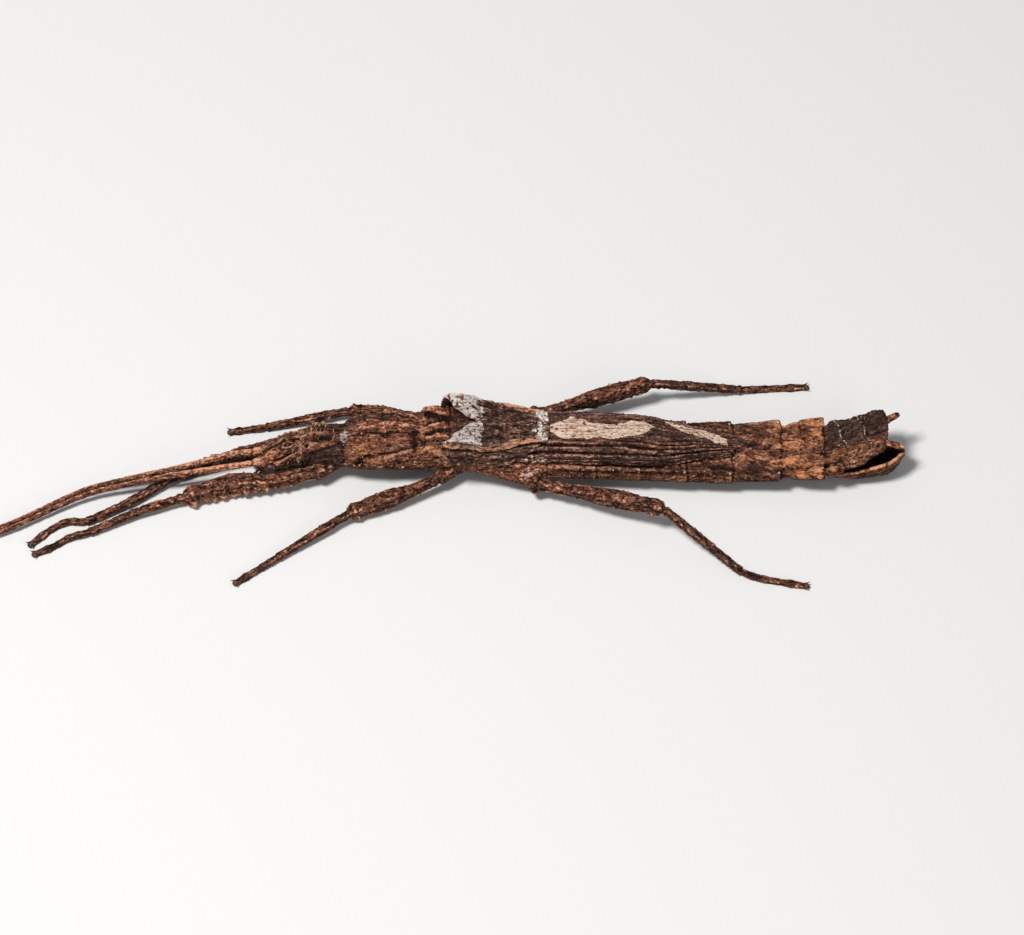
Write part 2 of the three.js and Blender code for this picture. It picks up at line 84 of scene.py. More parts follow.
# %% Profiles, bells and steps
def through(*pairs):
    """A smooth profile through (x, value) pairs that never swings past them."""
    xs, values = np.array(pairs, float).T
    slopes = np.diff(values) / np.diff(xs)
    tangents = np.zeros(len(xs))
    for i in range(1, len(xs) - 1):
        before, after = slopes[i - 1], slopes[i]
        if before * after > 0:
            tangents[i] = 2 * before * after / (before + after)

    def profile(x):
        x = np.clip(x, xs[0], xs[-1])
        i = np.clip(np.searchsorted(xs, x) - 1, 0, len(xs) - 2)
        span = xs[i + 1] - xs[i]
        t = (x - xs[i]) / span
        bend = t * (1 - t) * span * (tangents[i] * (1 - t) - tangents[i + 1] * t)
        return values[i] + (values[i + 1] - values[i]) * t * t * (3 - 2 * t) + bend

    return profile


def bell(x, middle, width):
    """A bell of height 1 round a middle."""
    return np.exp(-(((x - middle) / width) ** 2))


def step(x, edge, softness):
    """Rises from 0 to 1 as x passes an edge."""
    return 1 / (1 + np.exp(-np.clip((x - edge) / softness, -30, 30)))


def mix(low, high, share):
    return low + (high - low) * share


def stretch(x, start, end, softness=0.3):
    """1 between two places along the body, and 0 outside them."""
    return step(x, start, softness) * step(-x, -end, softness)


def spot(x, y, middle, radii):
    """A round or oval spot of height 1."""
    return np.exp(-(((x - middle[0]) / radii[0]) ** 2) - ((y - middle[1]) / radii[1]) ** 2)


# %% [markdown]
# ## Skins from sheets
# A skin could be sculpted by hand, or cut from spheres. Here each one starts as a flat grid, because
# a grid keeps its rows in order: one way runs along the part and the other runs round it. The grid is
# rolled into a tube, its two edges are merged, and then every corner is pushed in or out along its
# normal to raise ridges and sink furrows.

# %% From a flat grid to a skin
def read(mesh, kind, name):
    """The corners' places ("co"), normals, or a stored attribute, as an array."""
    source = {"co": mesh.vertices, "normal": mesh.vertex_normals}.get(name)
    field = {"co": "co", "normal": "vector"}.get(name, "vector" if kind == "vector" else "value")
    found = np.empty(len(mesh.vertices) * (3 if kind == "vector" else 1))
    (source or mesh.attributes[name].data).foreach_get(field, found)
    return found.reshape(-1, 3) if kind == "vector" else found


def write(mesh, name, values):
    """Stores one number, or one vector, for every corner."""
    vector = values.ndim == 2
    layer = mesh.attributes.get(name)
    layer = layer or mesh.attributes.new(name, "FLOAT_VECTOR" if vector else "FLOAT", "POINT")
    layer.data.foreach_set("vector" if vector else "value", values.astype(np.float32).ravel())


def flat_sheet(name, columns, rows):
    """A unit sheet that knows each corner's share of its length and of its breadth."""
    made = bmesh.new()
    bmesh.ops.create_grid(made, x_segments=columns, y_segments=rows, size=0.5)
    mesh = bpy.data.meshes.new(name)
    made.to_mesh(mesh)
    made.free()
    corners = read(mesh, "vector", "co")
    write(mesh, "along", corners[:, 0] + 0.5)
    write(mesh, "across", corners[:, 1] + 0.5)
    return mesh


def set_corners(mesh, points):
    mesh.vertices.foreach_set("co", points.astype(np.float32).ravel())
    mesh.update()


MERGE_DISTANCE = 1e-6  # m


def close_seams(mesh, recalculate=True):
    """Merges the corners that meet, and turns every face outwards."""
    made = bmesh.new()
    made.from_mesh(mesh)
    bmesh.ops.remove_doubles(made, verts=made.verts, dist=MERGE_DISTANCE)
    if recalculate:
        bmesh.ops.recalc_face_normals(made, faces=made.faces)
    for face in made.faces:
        face.smooth = True
    made.to_mesh(mesh)
    made.free()


def show(mesh, name, material, replaced=()):
    """Puts a finished mesh in the scene, riding on the one body of the model."""
    piece = bpy.data.objects.new(name, mesh)
    bpy.context.scene.collection.objects.link(piece)
    mesh.materials.append(material)
    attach(piece, "root")
    if replaced:
        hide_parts(*replaced)
    print(f"{name}: {len(mesh.polygons)} faces")
    return piece


def skin(name, size, place, dress, material, replaced=(), lowest=0.0):
    """
    A piece made from one sheet. size is its columns and rows. place(along, across) gives each
    corner's point, and its straight place, as if the part were unbent, which patterns follow.
    dress(along, across, straight) gives the height of the relief and the tints by name.
    """
    mesh = flat_sheet(name, *size)
    points, _ = place(read(mesh, "number", "along"), read(mesh, "number", "across"))
    set_corners(mesh, to_scene(points))
    close_seams(mesh)
    along, across = (read(mesh, "number", share) for share in ("along", "across"))
    _, straight = place(along, across)
    height, tints = dress(along, across, straight)
    moved = read(mesh, "vector", "co") + read(mesh, "vector", "normal") * (height * MM)[:, None]
    moved[:, 2] = np.maximum(moved[:, 2], lowest * MM)
    set_corners(mesh, moved)
    write(mesh, "place", straight)
    for tint, values in tints.items():
        write(mesh, tint, np.clip(values, 0, 1))
    return show(mesh, name, material, replaced)


# %% [markdown]
# ## Bark
# Bark is noise drawn out lengthwise. Broad strands and small grains are laid over each other. Creases
# and cracks run where a slower noise crosses zero, which gives long, wandering lines that never end
# abruptly, and pits lie where a finer noise is deepest. The same height later chooses the colour as
# painted light: painted shade darkens the furrows and a painted highlight lightens the crests.

# %% Noise along the grain
def grain(straight, size, seed):
    """Noise from -1 to 1. size is its length along the part and its width across it, in mm."""
    scaled = straight / np.array([size[0], size[1], size[1]]) + seed * 17.3
    values = [noise.noise(point) for point in scaled.tolist()]
    return np.clip(np.array(values) * 1.5, -1, 1)


def bark(straight, seed, coarse=1.0, pitted=0.5):
    """The relief of bark, from about -1 in the cracks to 1 on the crests."""
    wander = grain(straight, (3.0 * coarse, 1.5 * coarse), seed)
    bent = straight + np.outer(wander, [0.0, 0.35 * coarse, 0.35 * coarse])
    strands = grain(bent, (2.0 * coarse, 0.45 * coarse), seed + 1)
    grains = grain(straight, (0.34, 0.26), seed + 3)
    crease = bell(grain(bent, (2.2 * coarse, 0.5 * coarse), seed + 2), 0, 0.12)
    crack = bell(grain(bent, (3.6 * coarse, 1.1 * coarse), seed + 4), 0, 0.07)
    pits = step(-grain(straight, (0.5, 0.42), seed + 5), 0.42, 0.06)
    swell = grain(straight, (1.6 * coarse, 0.9 * coarse), seed + 6)
    lines = 0.55 * crease + 0.8 * crack + pitted * pits
    return 0.38 * strands + 0.4 * grains + 0.22 * swell - lines + 0.25


def knobbly(marks, straight, seed):
    """Breaks a smooth ridge or furrow into beads, as no line on bark is even."""
    return marks * (0.75 + 0.55 * grain(straight, (0.42, 0.34), seed))


# %% [markdown]
# ## One shell, many finishes
# Every part of the insect has the same kind of shell, so one node group makes its colour, and each
# material gives it other colours. The group reads the relief that the mesh already has and adds the
# finest fibres and grit, too small to be worth corners. Painting a picture for each part would also
# work, but a pattern made from the shape fits it from every side.

# %% The shell's node group
class NodeSheet:
    """Short ways to add and wire nodes in one tree."""

    def __init__(self, tree):
        self.tree = tree

    def add(self, kind, **settings):
        node = self.tree.nodes.new(kind)
        for name, value in settings.items():
            setattr(node, name, value)
        return node

    def plug(self, node, **inputs):
        """Wires or sets inputs. A name such as Base_Color means the socket Base Color."""
        for name, value in inputs.items():
            key = int(name[1:]) if name[0] == "n" and name[1:].isdigit() else name.replace("_", " ")
            if isinstance(value, bpy.types.NodeSocket):
                self.tree.links.new(value, node.inputs[key])
            else:
                node.inputs[key].default_value = value
        return node

    def math(self, operation, first, second=0.0):
        return self.plug(self.add("ShaderNodeMath", operation=operation), n0=first, n1=second).outputs[0]

    def pattern(self, place, stretching, scale, detail=2.0):
        """Noise from about -0.5 to 0.5, drawn out by the stretching."""
        drawn = self.add("ShaderNodeVectorMath", operation="MULTIPLY")
        self.plug(drawn, n0=place, n1=stretching)
        texture = self.plug(self.add("ShaderNodeTexNoise"), Vector=drawn.outputs[0], Scale=scale, Detail=detail)
        return self.math("SUBTRACT", texture.outputs["Fac"], 0.5)

    def ramp(self, value, low, high):
        """0 up to low, 1 from high, and smooth between."""
        node = self.add("ShaderNodeMapRange", interpolation_type="SMOOTHSTEP")
        return self.plug(node, Value=value, From_Min=low, From_Max=high).outputs["Result"]

    def blend(self, share, first, second, blend_type="MIX"):
        node = self.add("ShaderNodeMix", data_type="RGBA", blend_type=blend_type)
        colours = [socket for socket in node.inputs if socket.type == "RGBA"]
        self.plug(node, n0=share)
        for socket, value in zip(colours, (first, second)):
            if isinstance(value, bpy.types.NodeSocket):
                self.tree.links.new(value, socket)
            else:
                socket.default_value = (*value, 1)
        return next(socket for socket in node.outputs if socket.type == "RGBA")


TINTS = ("relief", "warm", "dark", "lichen")
# The furrow colour is painted shade and the crest colour a painted highlight. The crust's dark colour is painted shade
# in its hollows. The dark tint holds both the shell's dark marks and painted shade.
TREE_COLOURS = {
    "Furrow": (0.012, 0.005, 0.003),
    "Middle": (0.160, 0.056, 0.030),
    "Crest": (0.68, 0.325, 0.185),
    "Warm": (0.58, 0.215, 0.080),
    "Dark": (0.060, 0.040, 0.033),
    "Underlay": (0.16, 0.10, 0.075),
    "Lichen": (0.52, 0.445, 0.40),
}
GREY_CAST = (0.60, 0.68, 0.76)  # weathered patches are a little darker and greyer


def make_shell_group():
    tree = bpy.data.node_groups.new("shell", "ShaderNodeTree")
    tree.interface.new_socket("Place", in_out="INPUT", socket_type="NodeSocketVector")
    for name in TINTS:
        tree.interface.new_socket(name.title() + " Share", in_out="INPUT", socket_type="NodeSocketFloat")
    for name in TREE_COLOURS:
        tree.interface.new_socket(name, in_out="INPUT", socket_type="NodeSocketColor")
    tree.interface.new_socket("Color", in_out="OUTPUT", socket_type="NodeSocketColor")
    tree.interface.new_socket("Roughness", in_out="OUTPUT", socket_type="NodeSocketFloat")
    tree.interface.new_socket("Height", in_out="OUTPUT", socket_type="NodeSocketFloat")

    nodes = NodeSheet(tree)
    given = nodes.add("NodeGroupInput").outputs
    fibres = nodes.pattern(given["Place"], (1.5, 4.6, 4.6), 1.0, 3.0)
    grit = nodes.pattern(given["Place"], (3.6, 4.8, 4.8), 1.0, 4.0)
    drift = nodes.pattern(given["Place"], (0.35, 0.8, 0.8), 1.0, 2.0)
    relief = nodes.math("MULTIPLY", nodes.math("SUBTRACT", given["Relief Share"], 0.5), 2.0)
    height = nodes.math("ADD", relief, nodes.math("MULTIPLY", fibres, 1.9))
    height = nodes.math("ADD", height, nodes.math("MULTIPLY", grit, 2.6))

    # The relief picks the colour: painted shade in the furrows, a painted highlight on the crests.
    colour = nodes.blend(nodes.ramp(height, -0.8, 0.15), given["Furrow"], given["Middle"])
    colour = nodes.blend(nodes.ramp(height, 0.1, 0.95), colour, given["Crest"])
    colour = nodes.blend(nodes.ramp(drift, 0.0, 0.25), colour, nodes.blend(1.0, colour, GREY_CAST, "MULTIPLY"))
    warm = nodes.blend(nodes.ramp(height, -0.8, 1.0), given["Furrow"], given["Warm"])
    colour = nodes.blend(nodes.math("MULTIPLY", given["Warm Share"], 0.75), colour, warm)
    dark = nodes.blend(nodes.ramp(height, -0.6, 1.4), given["Furrow"], given["Dark"])
    colour = nodes.blend(nodes.math("MULTIPLY", given["Dark Share"], 0.9), colour, dark)
    edge = nodes.math("ADD", given["Lichen Share"], nodes.math("MULTIPLY", grit, 1.3))
    edge = nodes.math("ADD", edge, nodes.math("MULTIPLY", fibres, 0.6))
    # The crust takes painted shade in its hollows and is pale on its crests.
    crust = nodes.blend(nodes.ramp(height, -1.0, 0.9), given["Underlay"], given["Lichen"])
    colour = nodes.blend(nodes.ramp(edge, 0.44, 0.56), colour, crust)

    gloss = nodes.math("MULTIPLY", nodes.ramp(height, -0.2, 1.0), -0.16)
    roughness = nodes.math("ADD", gloss, 0.62)
    sink = nodes.math("ADD", nodes.math("MULTIPLY", fibres, 1.0), nodes.math("MULTIPLY", grit, 1.4))
    out = nodes.add("NodeGroupOutput")
    nodes.plug(out, Color=colour, Roughness=roughness, Height=sink)
    return tree


shell_group = make_shell_group()
print("the shell group has", len(shell_group.nodes), "nodes")

# %% [markdown]
# ## A material for each kind of part
# The shader itself stays in each material. Cuticle reflects like dull wood, so the specular level is
# low and the roughness high. The bump is only as deep as real grit, about a tenth of a millimetre.

# %% Finishes of the shell
GRIT_DEPTH = 0.16 * MM


def shell_finish(name, depth=GRIT_DEPTH, **colours):
    material = bpy.data.materials.new(name)
    material.use_nodes = True
    nodes = NodeSheet(material.node_tree)
    shader = material.node_tree.nodes["Principled BSDF"]
    group = nodes.add("ShaderNodeGroup", node_tree=shell_group)
    place = nodes.add("ShaderNodeAttribute", attribute_name="place")
    nodes.plug(group, Place=place.outputs["Vector"])
    for tint in TINTS:
        share = nodes.add("ShaderNodeAttribute", attribute_name=tint)
        material.node_tree.links.new(share.outputs["Fac"], group.inputs[tint.title() + " Share"])
    for socket, colour in {**TREE_COLOURS, **colours}.items():
        group.inputs[socket].default_value = (*colour, 1)
    bump = nodes.add("ShaderNodeBump")
    nodes.plug(bump, Height=group.outputs["Height"], Distance=depth, Strength=1.0)
    nodes.plug(shader, Base_Color=group.outputs["Color"], Roughness=group.outputs["Roughness"])
    nodes.plug(shader, Normal=bump.outputs["Normal"], Specular_IOR_Level=0.1)
    return material


# Every finish's furrow colour is painted shade and its crest colour a painted highlight.
bark_finish = shell_finish("bark")
limb_finish = shell_finish(
    "limb", Middle=(0.170, 0.063, 0.036), Crest=(0.68, 0.33, 0.20),
)
forewing_finish = shell_finish(
    "forewing", Middle=(0.115, 0.052, 0.036), Crest=(0.54, 0.29, 0.18), Lichen=(0.57, 0.525, 0.495),
)
hindwing_finish = shell_finish(
    "hindwing", Middle=(0.080, 0.036, 0.026), Crest=(0.42, 0.205, 0.140), Underlay=(0.24, 0.125, 0.078),
    Lichen=(0.70, 0.52, 0.405),
)
print("finishes:", [material.name for material in bpy.data.materials])

# %% [markdown]
# ## The trunk
# Thorax and abdomen are a row of hard rings, but a gap between two of them would show as a slit. One
# skin therefore covers them all. Its outline steps where one ring ends and the next begins, and a
# crease marks the joint. Backs are nearly flat with rounded shoulders, which a superellipse gives;
# bellies are rounder.

# %% The outline of the trunk
HEAD_END = 4.7
PROTHORAX_END = 9.5
MESOTHORAX_END = 21.3
METATHORAX_END = 32.2
ABDOMEN_ENDS = [37.7, 42.6, 47.7, 52.8, 58.2, 63.0, 65.2, 67.6, 70.0]
TAIL_END = ABDOMEN_ENDS[-1]
JOINTS = [PROTHORAX_END, MESOTHORAX_END, METATHORAX_END, *ABDOMEN_ENDS[:-1]]

trunk_centre = through(
    (0, -1.7), (1.4, -1.3), (4.7, -0.35), (9.5, -0.15), (13, 0), (31, 0),
    (38, -0.2), (52, -0.7), (60, -0.8), (64, -0.7), (67.1, -0.2), (68.9, 0.15), (70, 0.25),
)
corner_size = through(
    (40, 0.08), (50, 0.12), (54, 0.28), (58, 0.4), (58.6, 0.75), (63.6, 0.7), (65, 0.35), (70, 0.3),
)
corner_lobe = through((0, -0.75), (0.12, -0.6), (0.5, 0.45), (0.85, 0.85), (1, 0.9))  # along one ring
right_share = through((62.8, 1), (63.8, 0.9), (65, 0.1))
LEFT_SHARE = 0.55  # the left corners of the rings stand out less, except at the tail
tail_roll = through((48, 0), (58, 0.05), (66, 0.06), (70, 0.1))


def segment_share(x):
    """The share of the way through the abdominal segment that x lies in."""
    starts = np.array([METATHORAX_END, *ABDOMEN_ENDS[:-1]])
    ends = np.array(ABDOMEN_ENDS)
    i = np.clip(np.searchsorted(ends, x), 0, len(ends) - 1)
    return np.clip((x - starts[i]) / (ends[i] - starts[i]), 0, 1)


class Outline:
    """
    One stretch of the trunk: how wide and high it is, and how square its back is. softness says
    over how many millimetres it passes into the next one.
    """

    def __init__(self, end, softness, half_width, top, side, bottom, squareness, belly_squareness=1.82):
        self.end = end
        self.softness = softness
        self.half_width = half_width
        self.top = top
        self.side = side
        self.bottom = bottom
        self.squareness = squareness
        self.belly_squareness = belly_squareness


OUTLINES = [
    Outline(
        end=PROTHORAX_END,
        softness=0.07,
        half_width=through((4.7, 2.2), (5.4, 2.4), (8.6, 2.65), (9.5, 2.5)),
        top=through((4.7, 4.2), (6.5, 4.6), (9.5, 4.6)),
        side=through((4.7, 2.7), (9.5, 2.7)),
        bottom=through((4.7, 1.4), (9.5, 1.1)),
        squareness=3.4,
    ),
    Outline(
        end=MESOTHORAX_END,
        softness=0.25,
        half_width=through((9.5, 2.75), (11, 3.2), (14, 3.4), (18, 3.35), (21.3, 3.3)),
        top=through((9.5, 4.7), (12, 5.05), (21.3, 5.3)),
        side=through((9.5, 3.1), (21.3, 3.1)),
        bottom=through((9.5, 1.1), (13, 0.9), (21.3, 0.8)),
        squareness=4.2,
    ),
    Outline(
        end=METATHORAX_END,
        softness=0.1,
        half_width=through((21.3, 3.55), (23.5, 3.75), (26.5, 4.1), (30, 4.85), (32.2, 4.2)),
        top=through((21.3, 5.1), (26, 4.9), (32.2, 4.2)),
        side=through((21.3, 3.5), (24, 3.2), (28, 2.0), (32.2, 2.0)),
        bottom=through((21.3, 0.8), (32.2, 0.7)),
        squareness=2.5,
    ),
    Outline(
        end=TAIL_END,
        softness=0.1,
        half_width=through(
            (32.2, 4.05), (38, 4.1), (50, 4.1), (60, 3.75), (63, 3.7), (65.2, 3.45), (68, 3.15), (70, 2.75),
        ),
        top=through(
            (32.2, 4.1), (38, 3.75), (52.8, 3.4), (60, 3.5), (63, 3.6), (65, 4.0), (67.1, 4.7),
            (68.9, 5.35), (70, 5.6),
        ),
        side=through(
            (32.2, 2.3), (50, 2.3), (58, 2.9), (63, 3.15), (65, 3.5), (67.1, 4.15), (68.9, 4.8), (70, 5.1),
        ),
        bottom=through(
            (32.2, 0.7), (50, 0.6), (60, 0.8), (63.5, 1.4), (66, 2.4), (68.5, 3.5), (70, 4.1),
        ),
        squareness=3.4,
    ),
]


def round_off(cosine, sine, squareness):
    """How far out a superellipse of radius 1 lies in a direction."""
    return (np.abs(cosine) ** squareness + np.abs(sine) ** squareness) ** (-1 / squareness)


def ring_of(outline, x, angle):
    """Offsets, heights and shares of the rise of a ring of the trunk."""
    cosine, sine = np.cos(angle), np.sin(angle)
    upper = sine > 0
    reach = round_off(cosine, sine, np.where(upper, outline.squareness, outline.belly_squareness))
    flare = np.where(x > METATHORAX_END, corner_size(x) * corner_lobe(segment_share(x)), 0)
    flare = flare * np.where(cosine > 0, right_share(x), LEFT_SHARE)
    offset = cosine * reach * (outline.half_width(x) + flare)
    side = outline.side(x)
    depth = np.where(upper, outline.top(x) - side, side - outline.bottom(x))
    return offset, side + sine * reach * depth, np.clip(sine * reach, 0, 1)


def lobes(x, offset):
    """The raised edges of the middle thorax, and the humps that fill the space under the wings."""
    out = np.abs(offset)
    edge = 0.3 * bell(out, 3.3, 0.5) * stretch(x, PROTHORAX_END, 19, 0.2)
    root = through((17.9, 0), (18.5, 1.0), (20, 1.7), (21.4, 2.1), (21.8, 1.7), (24.5, 1.2), (27, 0))
    middle = through((20.8, 0), (22.5, 1.0), (24.5, 1.4), (28, 1.0), (31, 0.7), (33, 0))
    return edge + root(x) * bell(out, 3.1, np.where(out < 3.1, 0.5, 0.8)) + middle(x) * step(-out, -2.2, 0.3)


def trunk_ring(x, angle):
    """Where the trunk's surface lies: the offset from its centre line, and the height."""
    offset, height, begun = 0, 0, 1
    for outline in OUTLINES:
        passed = step(x, outline.end, outline.softness) if outline is not OUTLINES[-1] else 0
        across, up, rise = ring_of(outline, x, angle)
        share = begun - passed
        offset, height = offset + share * across, height + share * (up + lobes(x, across) * rise)
        begun = passed
    return offset, height + tail_roll(x) * offset


print("the trunk is", TAIL_END - HEAD_END, "mm long")

# %% [markdown]
# ## What grows on the trunk
# Bark alone would look the same from end to end. The real back has marks in certain places: a furrow
# down the middle with two warts in it, slanting creases along the shoulders, pits behind the head,
# and a rim at the hind edge of every ring of the abdomen. Each is a bell, raised or sunk along a
# profile, and the tints below follow the same places.

# %% The relief and the tints of the trunk
TRUNK_SIZE = (560, 170)
CAP_SHARE = 0.006  # of the length at either end, where the tube closes
UPPER_ROWS = 0.64  # the share of the rows that lies on the back


def trunk_angle(across):
    """Spends more rows of the sheet on the back than on the belly."""
    on_back = across / UPPER_ROWS
    on_belly = 1 + (across - UPPER_ROWS) / (1 - UPPER_ROWS)
    return math.pi * np.where(across < UPPER_ROWS, on_back, on_belly)


def place_trunk(along, across):
    x = mix(HEAD_END, TAIL_END, np.clip((along - CAP_SHARE) / (1 - 2 * CAP_SHARE), 0, 1))
    offset, height = trunk_ring(x, trunk_angle(across))
    closing = np.sqrt(np.clip(np.minimum(along, 1 - along) / CAP_SHARE, 0, 1))
    middle = np.select([x < METATHORAX_END, x < 60], [2.7, 2.3], trunk_core(x))
    offset, height = offset * closing, mix(middle, height, closing)
    rounding = 0.6 * np.abs(offset / 2.75) ** 3 * np.clip((x - 67.6) / 2.4, 0, 1)
    points = np.stack([x - rounding, trunk_centre(x) + offset, height], axis=1)
    return points, np.stack([x, offset, height], axis=1)


trunk_core = through((60, 2.9), (63, 3.15), (65, 3.5), (67.1, 4.15), (68.9, 4.8), (70, 5.1))
shoulder_crease = through((9.8, 3.25), (13.5, 3.0), (17.2, 2.1), (17.9, 1.5))
collar_edge = through((4.7, 2.3), (5.2, 2.06), (6.1, 2.0), (6.9, 1.75), (8.2, 1.35), (9.2, 0.9))
trunk_width = through((4.7, 2.2), (9, 2.6), (12, 3.3), (20, 3.3), (26, 4), (56, 4.1), (70, 2.8))


TAIL_START = 64.0  # mm, behind here the seams slant and are pale


def seam_of(joint, offset):
    """Where a joint of the trunk runs: a wavy line, which slants on the tail."""
    slant = 0.29 if joint > TAIL_START else 0.0
    return joint - slant * offset + 0.12 * np.sin(2.3 * offset + joint)


def trunk_marks(x, offset):
    """Ridges and furrows of the trunk in fixed places, in mm."""
    out = np.abs(offset)
    share = out / trunk_width(x)
    marks = -0.42 * bell(offset, 0.08 * np.sin(2.2 * x), 0.13) * stretch(x, 10.3, 17.5)
    marks -= 0.38 * bell(out, shoulder_crease(x) + 0.06 * np.sin(3 * x), 0.12) * stretch(x, 10, 17.8)
    marks += 0.16 * bell(out, shoulder_crease(x) + 0.35, 0.2) * stretch(x, 10.5, 17.6)
    marks -= 0.25 * bell(out, shoulder_crease(x) - 0.9, 0.1) * stretch(x, 11.5, 16) * step(np.sin(4 * x), 0, 0.2)
    marks -= 0.34 * bell(out, collar_edge(x), 0.13) * stretch(x, 5, 9.3, 0.1)
    for line, start, end, height in FLAP_LINES:
        marks += height * bell(offset, line(x), 0.12 if height > 0 else 0.2) * stretch(x, start, end, 0.1)
    for place, size, height in BACK_SPOTS:
        marks += height * spot(x, offset, place, size)
    for joint in JOINTS:
        sway = seam_of(joint, offset)
        marks -= (0.2 if joint < TAIL_START else 0.06) * bell(x, sway, 0.09)
        if joint > METATHORAX_END:
            marks += 0.05 * bell(x, sway - 0.35, 0.2)
    abdomen = stretch(x, METATHORAX_END, TAIL_END)
    marks += abdomen * (0.08 * bell(share, 0.88, 0.05) - 0.06 * bell(share, 0.76, 0.05))
    marks += 0.06 * abdomen * bell(offset, 0, 0.25)
    return marks


BACK_SPOTS = [
    ((5.4, -1.0), (0.42, 0.42), 0.3), ((5.4, -1.0), (0.22, 0.2), -0.8),
    ((7.3, -0.1), (0.9, 0.28), -0.55), ((6.3, 0.55), (0.9, 0.25), 0.28), ((6.9, -1.0), (1.1, 0.25), 0.2),
    ((11.5, 0), (0.14, 0.13), 0.42), ((11.65, -0.2), (0.3, 0.22), -0.2),
    ((14.05, 0.02), (0.26, 0.24), 0.5), ((14.1, -0.35), (0.45, 0.28), -0.3),
    ((14.2, 3.35), (0.25, 0.3), 0.35), ((15.9, 0.25), (0.3, 0.3), 0.16),
    ((17.15, -0.45), (0.35, 0.3), -0.4), ((17.4, -1.8), (0.22, 0.6), -0.34),
    ((63.2, -2.55), (0.24, 0.22), -0.45), ((16.4, 0.9), (0.5, 0.25), 0.2), ((14.6, 1.3), (0.7, 0.25), 0.16), ((17.6, 0.1), (0.3, 0.5), -0.3),
]
FLAP_LINES = [  # the line's offset, from x, to x, and its height in mm: ridges and the furrows beside them
    (through((18, 3.0), (21.5, 3.3)), 18.3, 21.5, 0.2), (through((18, -3.0), (21.5, -3.3)), 18.3, 21.5, 0.2),
    (through((18.4, 2.9), (21, 2.45)), 18.4, 21.3, 0.22), (through((18.4, -2.9), (21, -2.45)), 18.4, 21.3, 0.22),
    (through((18.4, 2.5), (21, 2.0)), 18.6, 21.5, -0.4), (through((18.4, -2.5), (21, -2.0)), 18.6, 21.5, -0.3),
    (through((17.4, 0.0), (20.1, 1.15)), 17.6, 20.3, 0.24), (through((18, -1.0), (20.7, -0.75)), 18.1, 20.8, 0.22),
    (through((18.2, -0.4), (20.7, 0.2)), 18.6, 21.2, -0.4), (through((18, -1.3), (20.7, -1.25)), 18.2, 21, -0.22),
    (through((17.5, 0.8), (21, 1.7)), 18.4, 21.4, -0.3), (through((14, -3.1), (18.5, -1.9)), 16.6, 18.4, -0.25),
]


def trunk_tints(straight, upper, patchy):
    """Where the trunk is warm, dark (its own dark marks and painted shade) or crusted, from 0 to 1."""
    x, offset, height = straight.T
    out = np.abs(offset)
    on_back, on_flank = step(height, 3.7, 0.25), step(height, 1.8, 0.2)
    warm = sum(share * spot(x, offset, place, size) for place, size, share in WARM_SPOTS) * on_back
    for line, start, end, lift in FLAP_LINES[:8]:
        if lift > 0:
            warm += 0.3 * bell(offset, line(x), 0.16) * stretch(x, start, end, 0.1) * step(height, 4.6, 0.2)
    warm += stretch(x, 52.9, 62.9) * mix(0.15, 0.65, step(x, 57.5, 0.6)) * (1 + 0.9 * patchy)
    warm += 0.6 * stretch(x, 63, 67.5) * step(-offset, 0.6, 0.2)
    dark = sum(share * spot(x, offset, place, size) for place, size, share in DARK_SPOTS) * on_back
    # Painted shade on the near side face of the collar, below its edge.
    dark += 0.85 * stretch(x, 4.6, 9.4, 0.1) * step(-offset, collar_edge(x), 0.1)
    # Painted shade over the far half of the tail.
    dark += 1.0 * stretch(x, 63, 70.5, 0.15) * step(offset, -0.7, 0.2)
    dark += 0.4 * stretch(x, 63, 70.5, 0.15) * step(-offset, 0.7, 0.2)
    dark += 0.5 * stretch(x, 4.6, 9.3, 0.1) + 0.3 * stretch(x, 9.7, 21) * step(-offset, 2.4, 0.2)
    dark += 0.2 * stretch(x, 33, 52, 0.5) + 0.35 * stretch(x, 53, 57.3, 0.6)
    warm += 0.2 * step(-offset, 2.2, 0.3) * stretch(x, 9.7, 56) * on_flank
    # Dark blotches on the hind rings, then painted shade on the belly and on all that lies below 1.6 mm.
    dark += 0.7 * stretch(x, 53, 63) * np.maximum(0, -patchy) + 0.45 * (1 - upper) + 0.4 * step(1.6, height, 0.3)
    # Painted shade under the forewings, and on the sides of the abdomen.
    dark += 0.9 * stretch(x, 21.6, 31, 0.1) * step(-out, -2.9, 0.2) + 0.35 * stretch(x, 33, 57, 1) * step(out, 2.4, 0.3)
    warm += 0.35 * bell(height, 2.55, 0.3) * stretch(x, 33, 57) * step(out, 3.4, 0.1)
    fine = grain(straight, (0.35, 0.3), 9)
    fibre = grain(straight * [1, 1, 0], (0.7, 0.14), 13)
    lichen = 0.9 * spot(x, offset, (9.5, 0.0), (0.55, 1.25)) * step(fibre, -0.45, 0.15)
    for joint in JOINTS[-2:]:
        lichen += 0.62 * bell(x, seam_of(joint, offset), 0.09) * upper
    lichen += 0.75 * spot(x, height, (30.4, 3.1), (1.4, 0.9)) * step(out, 3.2, 0.1) * step(fine, 0.1, 0.08)
    return {"warm": warm, "dark": dark, "lichen": lichen}


